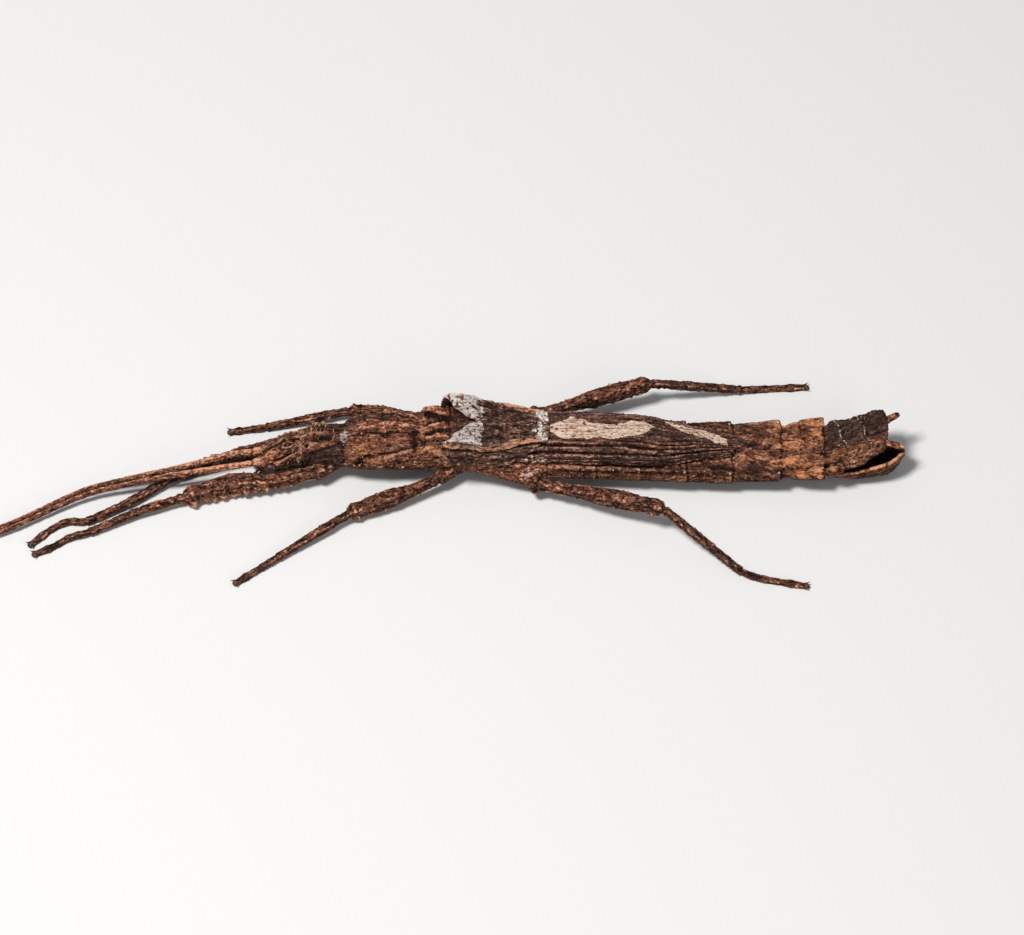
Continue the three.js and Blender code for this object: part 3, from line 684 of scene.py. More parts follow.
WARM_SPOTS = [  # place, radii, strength
    ((11.5, -3.1), (2.0, 0.7), 0.8), ((15.2, 1.6), (2.0, 0.7), 0.35), ((18.2, -2.6), (1.4, 0.5), 0.3),
    ((7.4, -0.9), (1.6, 0.5), 0.5), ((11.5, -1.6), (1.5, 0.6), 0.4), ((6.3, 0.5), (0.7, 0.3), 0.4),
]
# Dark patches of the back. Those on the far half of the thorax, at offsets from 1.6 to 3.1, are painted shade where the
# back slopes away; the rest are dark marks of the shell.
DARK_SPOTS = [
    ((5.4, -1.0), (0.22, 0.2), 1.0), ((7.3, -0.1), (0.9, 0.28), 0.9), ((10.2, 2.0), (1.3, 1.1), 0.8), ((12.5, 0.35), (2.6, 0.3), 0.5), ((14.5, 2.9), (3.0, 0.5), 0.5),
    ((16.9, 0.55), (0.8, 0.3), 0.6), ((8.6, 1.6), (0.9, 0.7), 0.6), ((12.5, 2.6), (2.0, 0.7), 0.5),
    ((17.4, -0.4), (0.5, 0.6), 0.9), ((17.3, -1.7), (0.35, 0.7), 0.9), ((19.9, 0.15), (1.0, 0.4), 0.9),
    ((20.3, 1.9), (1.2, 0.5), 0.9), ((14.1, -0.3), (0.5, 0.3), 0.8), ((17.6, 3.1), (1.0, 0.4), 0.9),
    ((63.2, -2.55), (0.4, 0.35), 1.0), ((15.6, -2.3), (1.5, 0.3), 0.7), ((20.8, -2.9), (0.5, 0.6), 0.7), ((13, 0.0), (3.5, 0.2), 0.4),
]


RELIEF_DEPTH = 0.12  # mm, from the middle height to a crest


def dress_trunk(along, across, straight):
    x, offset, height = straight.T
    upper = np.clip(4 * np.sin(trunk_angle(across)) + 0.6, 0, 1)
    rough = bark(straight, seed=1)
    smooth = stretch(x, 9.8, 17.6, 0.3) * step(-offset, 0.2, 0.15) * step(height, 2.5, 0.3)
    punctures = step(-grain(straight, (0.36, 0.32), 14), 0.5, 0.05)
    rough = mix(rough, 0.45 * rough + 0.15 - 1.1 * punctures, 0.75 * smooth)
    marks = knobbly(trunk_marks(x, offset) * upper, straight, 8)
    flank = stretch(x, 33, 57) * step(np.abs(offset), 3.4, 0.1)
    marks += flank * (0.07 * bell(height, 3.5, 0.15) - 0.18 * bell(height, 3.12, 0.1))
    patchy = grain(straight, (1.3, 1.0), 10)
    tints = trunk_tints(straight, upper, patchy)
    # Painted highlights: random bright patches on the orange rings, raised towards the crest colour.
    painted_highlights = stretch(x, 53, 63) * np.maximum(0, patchy)
    tints["relief"] = 0.5 + 0.5 * (0.75 * rough + marks / 0.2 + 0.5 * painted_highlights)
    return RELIEF_DEPTH * rough * mix(0.5, 1, upper) + marks, tints


trunk_nodes = ["prothorax", "mesothorax", "metathorax", *(f"abdomen_{n}" for n in range(2, 11))]
trunk = skin("trunk_skin", TRUNK_SIZE, place_trunk, dress_trunk, bark_finish, trunk_nodes)

# %% [markdown]
# ## The forewings
# The forewings are short and leathery. Each rises from its root to a steep ridge and falls over the
# side of the thorax. A wing is a sheet, so it is left open, relief and all, and the Solidify modifier
# gives it a real thickness at the end. That keeps its edges crisp.

# %% The forewings
LEFT, RIGHT = -1, 1
RIDGE_SHARE = 0.55  # how far across the wing its ridge lies
TEGMEN_MARGIN = 3.95
WING_THICKNESS = 0.16 * MM

tegmen_rear = through((0, 32.4), (1.5, 32.3), (2.4, 31.5), (3.2, 29.9), (3.95, 28))
tegmen_ridge_offset = through((21.3, 3.4), (24, 3.35), (28.6, 2.75), (32.4, 2.1))
tegmen_middle = through((21.3, 7.4), (24.4, 7.5), (28, 6.7), (32.4, 6.2))
tegmen_ridge = through((21.3, 7.7), (23.6, 7.5), (25, 6.8), (28.6, 6.45), (32.4, 6.2))
tegmen_margin = through((21.3, 4.2), (26, 4.1), (32.4, 4.6))


def three_point(across, inner, ridge, outer):
    """A smooth line from the inner edge over the ridge to the outer edge."""
    inward = np.clip(across / RIDGE_SHARE, 0, 1)
    outward = np.clip((across - RIDGE_SHARE) / (1 - RIDGE_SHARE), 0, 1)
    rising = mix(inner, ridge, inward ** 1.3)
    falling = mix(ridge, outer, outward ** 1.2)
    return np.where(across < RIDGE_SHARE, rising, falling)


def place_tegmen(side):
    def place(along, across):
        rear_reach = three_point(across, 0.0, 2.2, TEGMEN_MARGIN)
        inward = np.clip(across / RIDGE_SHARE, 0, 1)
        outward = np.clip((across - RIDGE_SHARE) / (1 - RIDGE_SHARE), 0, 1)
        front = mix(24.6, 20.8, inward ** 0.8) + 0.12 * np.sin(17 * inward)
        front = front - 0.5 * np.sin(math.pi * outward) + 0.3 * outward
        x = mix(front, tegmen_rear(rear_reach), along)
        offset = three_point(across, 0.0, tegmen_ridge_offset(x), TEGMEN_MARGIN)
        height = three_point(across, tegmen_middle(x), tegmen_ridge(x), tegmen_margin(x))
        turned = bell(x - front, 0, 0.5)
        offset = offset - 0.5 * turned * outward ** 0.5
        height = height - 0.35 * turned * (1 - outward)
        points = np.stack([x, side * offset, height], axis=1)
        return points, np.stack([x, side * (across * 6.4), 0 * x + 20], axis=1)

    return place


strip_share = through((20.8, 0.67), (26, 0.67), (29.8, 0.54), (32.4, 0.52))  # the tan strip beside the ridge
strip_width = through((20.8, 0.13), (25, 0.14), (27.5, 0.2), (32.4, 0.23))


def dress_tegmen(side):
    def dress(along, across, straight):
        x = straight[:, 0]
        rough = bark(straight, seed=30 + side)
        blotch = grain(straight, (1.1, 0.8), 33 + side)
        granule = grain(straight, (0.42, 0.42), 35 + side)
        groove = strip_share(x) + 0.085 + 0.012 * blotch
        outside = step(across, groove, 0.01)
        ribs = np.cos((across + 0.035 * blotch) * 2 * math.pi * 12)
        marks = 0.14 * bell(across, RIDGE_SHARE, 0.03) - 0.3 * bell(across, groove, 0.018)
        marks += outside * (0.05 * ribs - 0.16 * bell(across, 0.92, 0.016))
        marks -= 0.12 * bell(across, 0.42, 0.02) * step(x, 25.5, 0.4)
        inside = step(-across, -(strip_share(x) - 0.055 + 0.015 * blotch), 0.012)
        ragged = 24.7 + 0.6 * blotch + 0.35 * granule
        dots = step(grain(straight, (0.34, 0.3), 36 + side), 0.46, 0.06)
        patch = inside * step(-x, -ragged, 0.05) * step(-granule, -0.5, 0.05) * (1 - 0.75 * dots)
        specks = inside * bell(x, 31.4, 1.0) * step(granule, 0.3, 0.05)
        dusk = stretch(x, 24.7, 30.6) * (0.65 + 0.4 * blotch) + 0.35 * bell(x, 25.4, 0.9)
        strip = step(across, groove - strip_width(x) + 0.02 * blotch, 0.015) * (1 - outside) * (1 - patch)
        strip = strip * (0.7 + 0.5 * grain(straight, (0.9, 0.22), 37))
        tints = {
            "lichen": 0.95 * patch + 0.9 * specks,
            "warm": 0.35 * strip,
            "dark": dusk * inside * (1 - strip) * step(-granule, -0.3, 0.1) + 0.2 * outside,
            "relief": 0.5 + 0.5 * (0.8 * rough + marks / 0.22 + 0.75 * strip - 0.1 * patch),
        }
        return mix(0.1, 0.05, patch) * rough + knobbly(marks, straight, 38) + 0.12 * specks, tints

    return dress


def solidify(piece, thickness):
    """Turns a sheet into a thin solid, growing inwards."""
    modifier = piece.modifiers.new("thickness", "SOLIDIFY")
    modifier.thickness = thickness
    modifier.offset = -1
    return piece


tegmina = {}
for label, side in (("left", LEFT), ("right", RIGHT)):
    tegmina[label] = skin(
        f"tegmen_skin_{label}", (150, 90), place_tegmen(side), dress_tegmen(side),
        forewing_finish, [f"tegmen_{label}"],
    )
    solidify(tegmina[label], WING_THICKNESS)

# %% [markdown]
# ## The hind wings
# At rest the hind wings are folded fans, so what shows is a stack of ribs that narrows to a point over
# the abdomen, with a smooth flat panel in the middle. The left one lies a little over the right one.
# A pale crust lies along the middle of the panel.

# %% The hind wings
hindwing_width = through((28.4, 3.5), (42.5, 3.35), (48, 2.3), (53.6, 1.05), (55.5, 0.3))
hindwing_middle = through((28.4, 6.0), (34, 6.0), (40, 5.95), (48, 5.1), (55.5, 4.3))
hindwing_drop = through((28.4, 1.2), (40, 1.2), (48, 0.75), (55.5, 0.2))
FOLDED_SHARE = 0.8  # how far across the wing its edge turns down
WING_OVERLAP = 0.25
crust_left = through((31.5, 0.2), (32.4, -0.5), (33.2, -1.15), (34.4, -1.35), (37.6, -1.4), (40, -1.2), (43, -0.2), (44.3, 0.9))
crust_right = through(
    (31.5, 0.3), (32.6, 0.5), (33.6, 1.05), (34.6, 1.55), (35.8, 1.6), (37, 0.9), (39.5, 0.75), (41, 1.4),
    (42.8, 1.7), (44.3, 0.9),
)
tail_crust = through((45, 2.4), (47, 1.5), (48.5, 1.0), (50, 0.7), (51.6, 0.1), (52.6, -0.4))


def place_hindwing(side):
    def place(along, across):
        over = np.clip(across / FOLDED_SHARE, 0, 1)
        under = np.clip((across - FOLDED_SHARE) / (1 - FOLDED_SHARE), 0, 1)
        front = tegmen_rear(over * 3.4) - 1.2
        x = mix(front, mix(55.6, 52.5, over), along)
        inner = -WING_OVERLAP if side == LEFT else 0.02
        offset = mix(inner, hindwing_width(x), over) + 0.12 * np.sin(under * math.pi)
        slope = through((0, 0), (RIDGE_SHARE, 0.1), (1, 1))(over)
        height = hindwing_middle(x) - hindwing_drop(x) * slope - 0.9 * under * np.minimum(1, hindwing_width(x))
        height += 0.03 if side == LEFT else -0.03
        points = np.stack([x, trunk_centre(x) + side * offset, height], axis=1)
        return points, np.stack([x, side * (offset + 0.9 * under), 0 * x + 40], axis=1)

    return place


def dress_hindwing(side):
    def dress(along, across, straight):
        x, offset = straight[:, 0], straight[:, 1]
        share = np.abs(offset) / hindwing_width(x)
        rough = bark(straight, seed=50 + side)
        wander = grain(straight, (5.5, 0.9), 52 + side) + 0.4 * grain(straight, (1.5, 0.5), 53 + side)
        blotch = grain(straight, (1.4, 0.6), 54 + side)
        strength = 0.55 + 0.6 * grain(straight, (3.0, 0.7), 55 + side)
        ribs = np.cos((share + 0.085 * wander) * 2 * math.pi * 5.5)
        fine_ribs = np.cos((share + 0.05 * wander) * 2 * math.pi * 14)
        panel = step(-share, -0.45, 0.03)
        marks = mix(1.0, 0.25, panel) * strength * (0.09 * ribs + 0.04 * fine_ribs)
        for rib, start, end, depth in WING_FURROWS:
            marks -= depth * bell(share + 0.05 * wander, rib, 0.022) * stretch(x, start, end)
        reach = offset + 0.22 * blotch
        crust = step(reach, crust_left(x), 0.06) * step(-reach, -crust_right(x), 0.06) * stretch(x, 31.2, 44.4, 0.12)
        streak = step(reach, tail_crust(x) - 0.75, 0.08) * step(-reach, -tail_crust(x) - 0.35, 0.08)
        crust = crust + streak * stretch(x, 45.4, 52.2, 0.15)
        pit = step(grain(straight, (0.6, 0.25), 57), 0.6, 0.04)
        fine = grain(straight, (2.4, 0.16), 58)
        margin = step(share, 0.93, 0.03) * stretch(x, 29.2, 32.4, 0.3)
        speckle = step(grain(straight, (0.3, 0.22), 60), 0.05, 0.08)
        tints = {
            "lichen": crust * (1 - 0.9 * pit) + 0.8 * margin * speckle,
            "warm": 0.25 * bell(share, 0.55, 0.12) * step(x, 33, 1.5),
            "dark": 0.35 * panel * (1 - crust) * step(blotch, -0.3, 0.2),
            "relief": 0.5 + 0.5 * (0.6 * rough + marks / 0.15 + crust * (0.15 + 0.6 * fine)),
        }
        return mix(0.085, 0.03, crust) * rough + knobbly(marks, straight, 59) + 0.03 * crust * fine, tints

    return dress


WING_FURROWS = [  # share across, from x, to x, depth in mm
    (0.66, 29, 46, 0.26), (0.84, 29, 52, 0.26), (0.5, 40, 55, 0.2), (0.3, 46, 55, 0.14), (1.05, 29, 50, 0.2),
]

for label, side in (("left", LEFT), ("right", RIGHT)):
    wing = skin(
        f"hindwing_skin_{label}", (330, 84), place_hindwing(side), dress_hindwing(side),
        hindwing_finish, [f"hindwing_{label}"],
    )
    solidify(wing, WING_THICKNESS)

# %% [markdown]
# ## Limbs that bend
# A leg or an antenna is a tube round a bent path. Real joints bend over a short length, so each
# corner of the path is rounded with a curve. The tube's rings stand square to the path, and its
# patterns follow the straight length, so they don't shear at the knees.

# %% Paths
PATH_STEPS = 12  # pieces in each rounded corner


def rounded_path(corners, rounding):
    """Closely spaced points along straight runs whose corners are rounded."""
    corners = [Vector(corner) for corner in corners]
    points = [corners[0]]
    for before, corner, after in zip(corners, corners[1:], corners[2:]):
        room = min((corner - before).length, (corner - after).length) / 2
        cut = min(rounding, room)
        start = corner + (before - corner).normalized() * cut
        end = corner + (after - corner).normalized() * cut
        for i in range(PATH_STEPS + 1):
            t = i / PATH_STEPS
            points.append(start * (1 - t) ** 2 + corner * 2 * t * (1 - t) + end * t ** 2)
    points.append(corners[-1])
    return np.array(points)


def lengths_along(points):
    steps = np.linalg.norm(np.diff(points, axis=0), axis=1)
    return np.concatenate([[0.0], np.cumsum(steps)])


def point_at(points, distance):
    lengths = lengths_along(points)
    return np.stack([np.interp(distance, lengths, points[:, axis]) for axis in range(3)], axis=1)


def directions_at(points, distance, reach=0.25):
    """Unit vectors ahead, across and up at places along a path."""
    ahead = point_at(points, distance + reach) - point_at(points, distance - reach)
    ahead /= np.linalg.norm(ahead, axis=1)[:, None]
    across = np.stack([-ahead[:, 1], ahead[:, 0], 0 * ahead[:, 0]], axis=1)
    across /= np.linalg.norm(across, axis=1)[:, None]
    return ahead, across, np.cross(ahead, across)


def tube_place(points, radii, squareness=2.0, shift=0.0, cap=0.01):
    """
    The place function of a closed tube round a path. radii(distance) gives half the depth and
    half the breadth. shift sets its pattern apart from that of its twins.
    """
    whole = lengths_along(points)[-1]

    def place(along, across):
        distance = whole * np.clip((along - cap) / (1 - 2 * cap), 0, 1)
        closing = np.sqrt(np.clip(np.minimum(along, 1 - along) / cap, 0, 1))
        turn = 2 * math.pi * across
        cosine, sine = np.cos(turn), np.sin(turn)
        reach = round_off(cosine, sine, squareness) * closing
        depth, breadth = radii(distance)
        sideways, upwards = cosine * reach * breadth, sine * reach * depth
        _, across_dir, up_dir = directions_at(points, distance)
        made = point_at(points, distance) + across_dir * sideways[:, None] + up_dir * upwards[:, None]
        made[:, 2] = np.maximum(made[:, 2], 0)
        return made, np.stack([distance + shift, sideways, upwards], axis=1)

    return place


# %% [markdown]
# ## The legs
# The six legs share one plan: a short hip, a stout thigh with four toothed keels, a thin shin and a
# jointed foot. Only the corners of the path and the size differ, so one function makes them all.

# %% The plan of the legs
SOLE = 0.24  # mm from the floor to the axis of a foot
LEGS = {
    "front_left": {
        "upper": [(8.8, -1.5, 2.2), (6.7, -3.15, 2.1), (1.3, -4.35, 1.6), (-2.6, -4.35, 1.6)],
        "knee": (-8.1, -6.1, 1.2),
        "shin": [(-13.1, -7.85, 0.9)],
        "ankle": (-18.7, -10.7, 0.6),
        "foot": [(-20.9, -11.2, 0.35), (-22.4, -12.4, SOLE), (-24.5, -13.5, SOLE)],
        "size": 1.12,
        "knob": 0.22,
    },
    "front_right": {
        "upper": [(8.8, 1.4, 2.1), (6.6, 2.95, 1.8), (3.6, 2.35, 1.4), (-2.0, 0.15, 1.0)],
        "knee": (-8.9, -2.5, 0.85),
        "shin": [(-14.2, -6.4, 0.7)],
        "ankle": (-19.1, -9.2, 0.55),
        "foot": [(-21.1, -8.8, 0.35), (-23.1, -10.1, SOLE), (-25.0, -12.1, SOLE)],
        "size": 0.85,
        "knob": 0.1,
    },
    "middle_left": {
        "upper": [(22.5, -2.2, 2.1), (20.3, -3.9, 2.0), (17.5, -5.5, 1.85)],
        "knee": (10.2, -8.5, 1.3),
        "shin": [],
        "ankle": (2.2, -14.3, 0.55),
        "foot": [(0.4, -15.6, 0.32), (-2.2, -17.6, SOLE)],
        "size": 1.0,
        "knob": 0.1,
    },
    "middle_right": {
        "upper": [(22.5, 2.2, 2.1), (20.3, 3.8, 2.0), (17.5, 4.9, 1.8)],
        "knee": (10.2, 6.5, 1.2),
        "shin": [],
        "ankle": (0.7, 4.6, 0.55),
        "foot": [(-0.8, 4.5, 0.32), (-3.1, 4.15, SOLE)],
        "size": 0.85,
        "knob": 0.1,
    },
    "hind_left": {
        "upper": [(29.2, -3.4, 2.1), (30.9, -5.0, 2.2)],
        "knee": (44.9, -9.5, 3.4),
        "shin": [],
        "ankle": (53.6, -16.35, 0.55),
        "foot": [(55.6, -17.1, 0.32), (60.6, -18.1, SOLE)],
        "size": 1.0,
        "knob": 0.42,
    },
    "hind_right": {
        "upper": [(29.2, 3.4, 2.1), (30.9, 5.0, 2.2)],
        "knee": (43.5, 8.8, 3.2),
        "shin": [],
        "ankle": (54.0, 10.1, 0.55),
        "foot": [(56.2, 10.4, 0.32), (61.0, 10.7, SOLE)],
        "size": 1.0,
        "knob": 0.42,
    },
}
KNEE_ROUNDING = 1.3
HIP_LENGTH = 0.5
thigh_depth = through((0, 0.58), (0.3, 0.66), (0.55, 0.98), (0.7, 0.98), (0.88, 0.84), (0.95, 0.9), (1, 0.7))
shin_depth = through((0, 0.5), (0.1, 0.4), (0.35, 0.46), (0.7, 0.4), (0.92, 0.38), (1, 0.44))
foot_depth = through((0, 0.34), (0.3, 0.36), (0.6, 0.32), (0.8, 0.4), (1, 0.28))
TEETH = {  # share of the thigh, and height in mm
    "front": [
        (0.1, 0.2), (0.17, 0.25), (0.24, 0.42), (0.3, 0.24), (0.37, 0.34), (0.45, 0.28), (0.52, 0.5),
        (0.58, 0.28), (0.64, 0.36), (0.72, 0.56), (0.79, 0.34), (0.85, 0.4), (0.95, 0.62),
    ],
    "middle": [(0.3, 0.1), (0.5, 0.12), (0.93, 0.3)],
    "hind": [(0.3, 0.08), (0.6, 0.08), (0.94, 0.2)],
}


def nearest_distance(points, corner):
    """How far along a path its nearest point to a corner lies."""
    samples = np.linspace(0, lengths_along(points)[-1], 1200)
    gaps = np.linalg.norm(point_at(points, samples) - np.array(corner), axis=1)
    return samples[np.argmin(gaps)]


def leg_measures(plan):
    """The path of a leg, and the distances along it of the hip, knee, ankle and tip."""
    corners = [*plan["upper"], plan["knee"], *plan["shin"], plan["ankle"], *plan["foot"]]
    points = rounded_path(corners, KNEE_ROUNDING)
    hip = nearest_distance(points, plan["upper"][1]) + HIP_LENGTH
    return points, hip, nearest_distance(points, plan["knee"]), nearest_distance(points, plan["ankle"])


def leg_radii(plan, hip, knee, ankle, tip):
    """Half the depth and half the breadth along a leg, with the joints blended over."""
    places = np.arange(0, tip + 0.05, 0.05)
    thigh, shin = (places - hip) / (knee - hip), (places - knee) / (ankle - knee)
    foot = (places - ankle) / (tip - ankle)
    stages = [places < hip, places < knee, places < ankle]
    size = plan["size"]
    coxa = size * mix(0.78, 0.62, places / hip)
    toes = foot_depth(foot) * (0.9 + 0.16 * (np.mod(foot * 5, 1)) ** 2)
    depth = np.select(stages, [coxa, size * thigh_depth(thigh), shin_depth(shin)], toes)
    breadth = np.select(stages, [coxa, size * thigh_depth(thigh) * 0.84, shin_depth(shin)], toes * 1.15)
    knob = plan["knob"] * bell(places, hip - HIP_LENGTH, 0.6)
    depth, breadth = depth + knob, breadth + knob
    soft = np.hanning(9) / np.hanning(9).sum()
    depth, breadth = (np.convolve(np.pad(row, 4, "edge"), soft, "valid") for row in (depth, breadth))
    return lambda distance: (np.interp(distance, places, depth), np.interp(distance, places, breadth))


# %% Skin each leg
KEEL_HEIGHT = 0.2  # mm
SHIN_DARK = {"front": 0.1, "middle": 0.0, "hind": 0.45}


def dress_leg(name, points, plan, hip, knee, ankle):
    pair, label = name.split("_")
    side = LEFT if label == "left" else RIGHT
    whole = lengths_along(points)[-1]
    seed = 100 + 7 * list(LEGS).index(name)
    cap = 0.004

    def dress(along, across, straight):
        distance = whole * np.clip((along - cap) / (1 - 2 * cap), 0, 1)
        turn = 2 * math.pi * across
        thigh = (distance - hip) / (knee - hip)
        on_thigh = stretch(distance, hip - 0.3, knee, 0.15)
        on_foot = step(distance, ankle, 0.15)
        shin_dark = SHIN_DARK[pair] * stretch(distance, knee + 0.8, ankle, 0.4)
        rough = bark(straight, seed, coarse=0.6, pitted=0.25)
        saw = np.maximum(0, grain(straight * [1, 0.3, 0.3], (0.4, 0.5), seed + 7))
        blotch = grain(straight, (1.8, 1.5), seed + 8)
        keel = np.zeros_like(turn)
        for corner in (0.25, 0.75, 1.25, 1.75):
            gap = np.angle(np.exp(1j * (turn - corner * math.pi)))
            keel += bell(gap, 0, 0.2)
        keel = keel * (0.25 + saw)
        marks = keel * KEEL_HEIGHT * mix(0.55, 1, on_thigh) * (1 - on_foot)
        _, across_dir, up_dir = directions_at(points, distance)
        out = across_dir * np.cos(turn)[:, None] + up_dir * np.sin(turn)[:, None]
        facing = np.clip(out @ np.array([0, side * 0.9, -0.45]), 0, 1) ** 6
        tooth = sum(height * bell(thigh, middle, 0.008 + 0.03 * height) for middle, height in TEETH[pair])
        marks += facing * tooth * (0.85 + 0.3 * saw)
        marks -= 0.1 * (bell(distance, hip, 0.12) + bell(distance, knee + 0.25, 0.14) + bell(distance, ankle, 0.12))
        tints = {
            "warm": 0.3 * np.maximum(0, blotch) + 0.6 * bell(distance, ankle + 0.5, 0.5),
            "dark": 0.4 * np.maximum(0, -blotch) + 0.35 * on_foot * step(-blotch, 0, 0.2) + shin_dark,
            "lichen": 0 * turn,
            "relief": 0.5 + 0.5 * (1.0 * rough + 0.6 * keel - 0.33 + marks / 0.5),
        }
        return rough * mix(0.085, 0.11, on_thigh) * (1 - 0.5 * on_foot) + marks, tints

    return dress


leg_ends = {}
for name, plan in LEGS.items():
    points, hip, knee, ankle = leg_measures(plan)
    tip = lengths_along(points)[-1]
    place = tube_place(points, leg_radii(plan, hip, knee, ankle, tip), 2.7, shift=50, cap=0.004)
    columns = int(tip / 0.085)
    skin(
        f"leg_{name}_skin", (columns, 52), place, dress_leg(name, points, plan, hip, knee, ankle),
        limb_finish, [f"leg_{name}_{part}" for part in ("coxa", "femur", "tibia", "tarsus")],
    )
    leg_ends[name] = (points[-1], points[-1] - point_at(points, np.array([tip - 0.8]))[0])

# %% [markdown]
# ## The antennae
# Each antenna is about as long as the forelegs: a thick first joint, then a long tapering lash of
# many short joints. Both run forward side by side. They are tubes too, on a path that runs through
# profiles of the distance from the head.

# %% The antennae
antenna_y = through(
    (0, -1.75), (2.7, -1.9), (7.1, -2.75), (9.7, -3.3), (18.2, -4.8), (29.3, -10.45), (41.6, -15.4),
)
antenna_z = through(
    (0, 3.0), (2.7, 2.75), (7.1, 2.45), (9.7, 2.3), (18.2, 1.25), (29.3, 0.75), (41.6, 0.9),
)
antenna_spread = through((0, 0.75), (3, 0.9), (7.5, 0.6), (12, 0.42), (30, 0.36), (42, 0.6))
antenna_depth = through((0, 0.46), (0.9, 0.5), (1.5, 0.36), (3, 0.36), (14, 0.31), (41, 0.25))
ANTENNA_START, ANTENNA_END = 0.7, -40.9


def dress_antenna(side):
    def dress(along, across, straight):
        turn = 2 * math.pi * across
        distance = straight[:, 0] - 90
        rough = bark(straight, 200 + side, coarse=0.6, pitted=0.2)
        blotch = grain(straight, (1.6, 1.5), 205 + side)
        joint = np.mod(distance, 1.35) / 1.35
        ring = bell(joint, 0.03, 0.05) + bell(joint, 1.0, 0.04)
        stripe = bell(np.angle(np.exp(1j * (turn - math.pi * 0.6))), 0, 0.5)
        marks = -0.035 * ring * step(distance, 1.5, 0.2) - 0.08 * bell(distance, 1.35, 0.12)
        root = step(-distance, -9.0, 2.0)
        tints = {
            "warm": 0.35 * stripe + 0.3 * np.maximum(0, blotch),
            "dark": 0.4 * np.maximum(0, -blotch) * (1 - root),
            "lichen": 0 * turn,
            "relief": 0.5 + 0.5 * (0.7 * rough + 0.45 * stripe - 0.1 + 0.5 * root + marks / 0.12),
        }
        return 0.05 * rough + marks, tints

    return dress


for label, side in (("left", LEFT), ("right", RIGHT)):
    run = np.linspace(0, ANTENNA_START - ANTENNA_END, 240)
    sideways = antenna_y(run) + side * antenna_spread(run)
    points = np.stack([ANTENNA_START - run, sideways, antenna_z(run)], axis=1)
    place = tube_place(points, lambda distance: (antenna_depth(distance),) * 2, shift=90, cap=0.004)
    skin(
        f"antenna_skin_{label}", (480, 24), place, dress_antenna(side),
        limb_finish, [f"antenna_{label}_base", f"antenna_{label}_tip"],
    )

# %% [markdown]
# ## The head
# A head like this is a rough lump seen from afar, and the part that is looked at first. It gets a mesh
# of its own with twice the fineness: a groove down the middle, a ring-shaped boss behind the
# antennae, a swirl of wrinkles on the back of the skull, a pale keel behind each eye, and deep
# sockets for the eyes.

# %% The head
head_outline = Outline(
    end=HEAD_END,
    softness=0,
    half_width=through((0, 0.9), (0.6, 1.4), (1.5, 1.75), (2.6, 1.95), (3.6, 2.1), (4.7, 2.1)),
    top=through((0, 3.2), (0.7, 3.75), (1.6, 3.95), (3.4, 4.15), (4.7, 4.05)),
    side=through((0, 2.75), (4.7, 2.75)),
    bottom=through((0, 2.1), (0.8, 1.3), (3, 1.1), (4.7, 1.3)),
    squareness=2.6,
    belly_squareness=3.2,
)
EYE_RADII = (0.58, 0.42, 0.52)
EYE_PLACE = (1.42, 1.84, 2.72)  # x, offset and height of its middle
keel_path = through((1.7, 1.76), (2.6, 1.83), (3.3, 1.75), (4.0, 1.6), (4.7, 1.4))
brow_path = through((0, 0.0), (1.8, 0.1), (3.1, 0.5), (4.1, 0.32), (4.7, 0.2))


def place_head(along, across):
    cap = 0.03
    x = mix(0.0, HEAD_END + 0.6, np.clip((along - cap) / (1 - 2 * cap), 0, 1))
    turn = 2 * math.pi * across
    offset, height, _ = ring_of(head_outline, np.minimum(x, HEAD_END), turn)
    closing = np.sqrt(np.clip(np.minimum(along, 1 - along) / cap, 0, 1))
    offset, height = offset * closing, mix(2.75, height, closing)
    points = np.stack([x, trunk_centre(x) + offset, height], axis=1)
    return points, np.stack([x, offset, height], axis=1)


def dress_head(along, across, straight):
    x, offset, height = straight.T
    out = np.abs(offset)
    upper = step(height, 2.9, 0.12)
    rough = bark(straight, 300, coarse=0.6)
    swirl = np.hypot((x - 3.3) / 1.25, (offset + 0.35) / 0.75)
    ring = np.hypot(x - 1.2, offset + 0.8)
    eye_gap = np.hypot((x - EYE_PLACE[0]) / EYE_RADII[0], (height - EYE_PLACE[2]) / EYE_RADII[2])
    beside = step(out, 1.2, 0.1)
    marks = -0.55 * bell(offset, brow_path(x), 0.1) * upper
    marks += 0.16 * bell(offset, brow_path(x) + 0.32, 0.16) * upper
    marks += 0.22 * bell(out, keel_path(x), 0.055) * stretch(x, 1.9, 4.5, 0.1) * upper
    marks -= 0.24 * bell(out, keel_path(x) - 0.2, 0.09) * stretch(x, 1.9, 4.5, 0.1) * upper
    marks += 0.19 * np.cos(swirl * 13) * bell(swirl, 0, 0.9) * upper
    marks += 0.14 * bell(ring, 0.28, 0.1) * upper - 0.3 * bell(ring, 0, 0.13) * upper
    marks += beside * (0.16 * bell(eye_gap, 1.25, 0.16) - 0.25 * bell(eye_gap, 0, 0.95))
    marks += 0.12 * spot(x, out, (0.55, 0.75), (0.35, 0.35)) * upper
    nape = bell(x, 4.85, 0.3) * (0.6 + 0.9 * grain(straight, (0.5, 0.6), 309))
    marks = knobbly(marks, straight, 308) + 0.24 * nape
    gold = spot(x, offset, (1.35, -0.85), (0.7, 0.65)) * upper
    pale_keel = bell(out, keel_path(x), 0.06) * stretch(x, 1.95, 4.5, 0.1) * upper
    cheek = step(out, keel_path(x) + 0.12, 0.06) * step(x, 1.6, 0.1)
    tints = {
        "warm": 0.7 * gold + 0.6 * pale_keel + 0.3 * step(-x, -0.6, 0.15),
        "dark": np.maximum(0.85 * cheek, 0.45 * upper * (1 - gold)) + 0.5 * step(-height, -1.8, 0.2),
        "lichen": 0 * x,
        "relief": 0.5 + 0.5 * (0.75 * rough - 0.1 + marks / 0.18 + 0.35 * gold + 0.8 * pale_keel),
    }
    return 0.1 * rough + marks, tints


head = skin("head_skin", (130, 230), place_head, dress_head, bark_finish, ["head"])

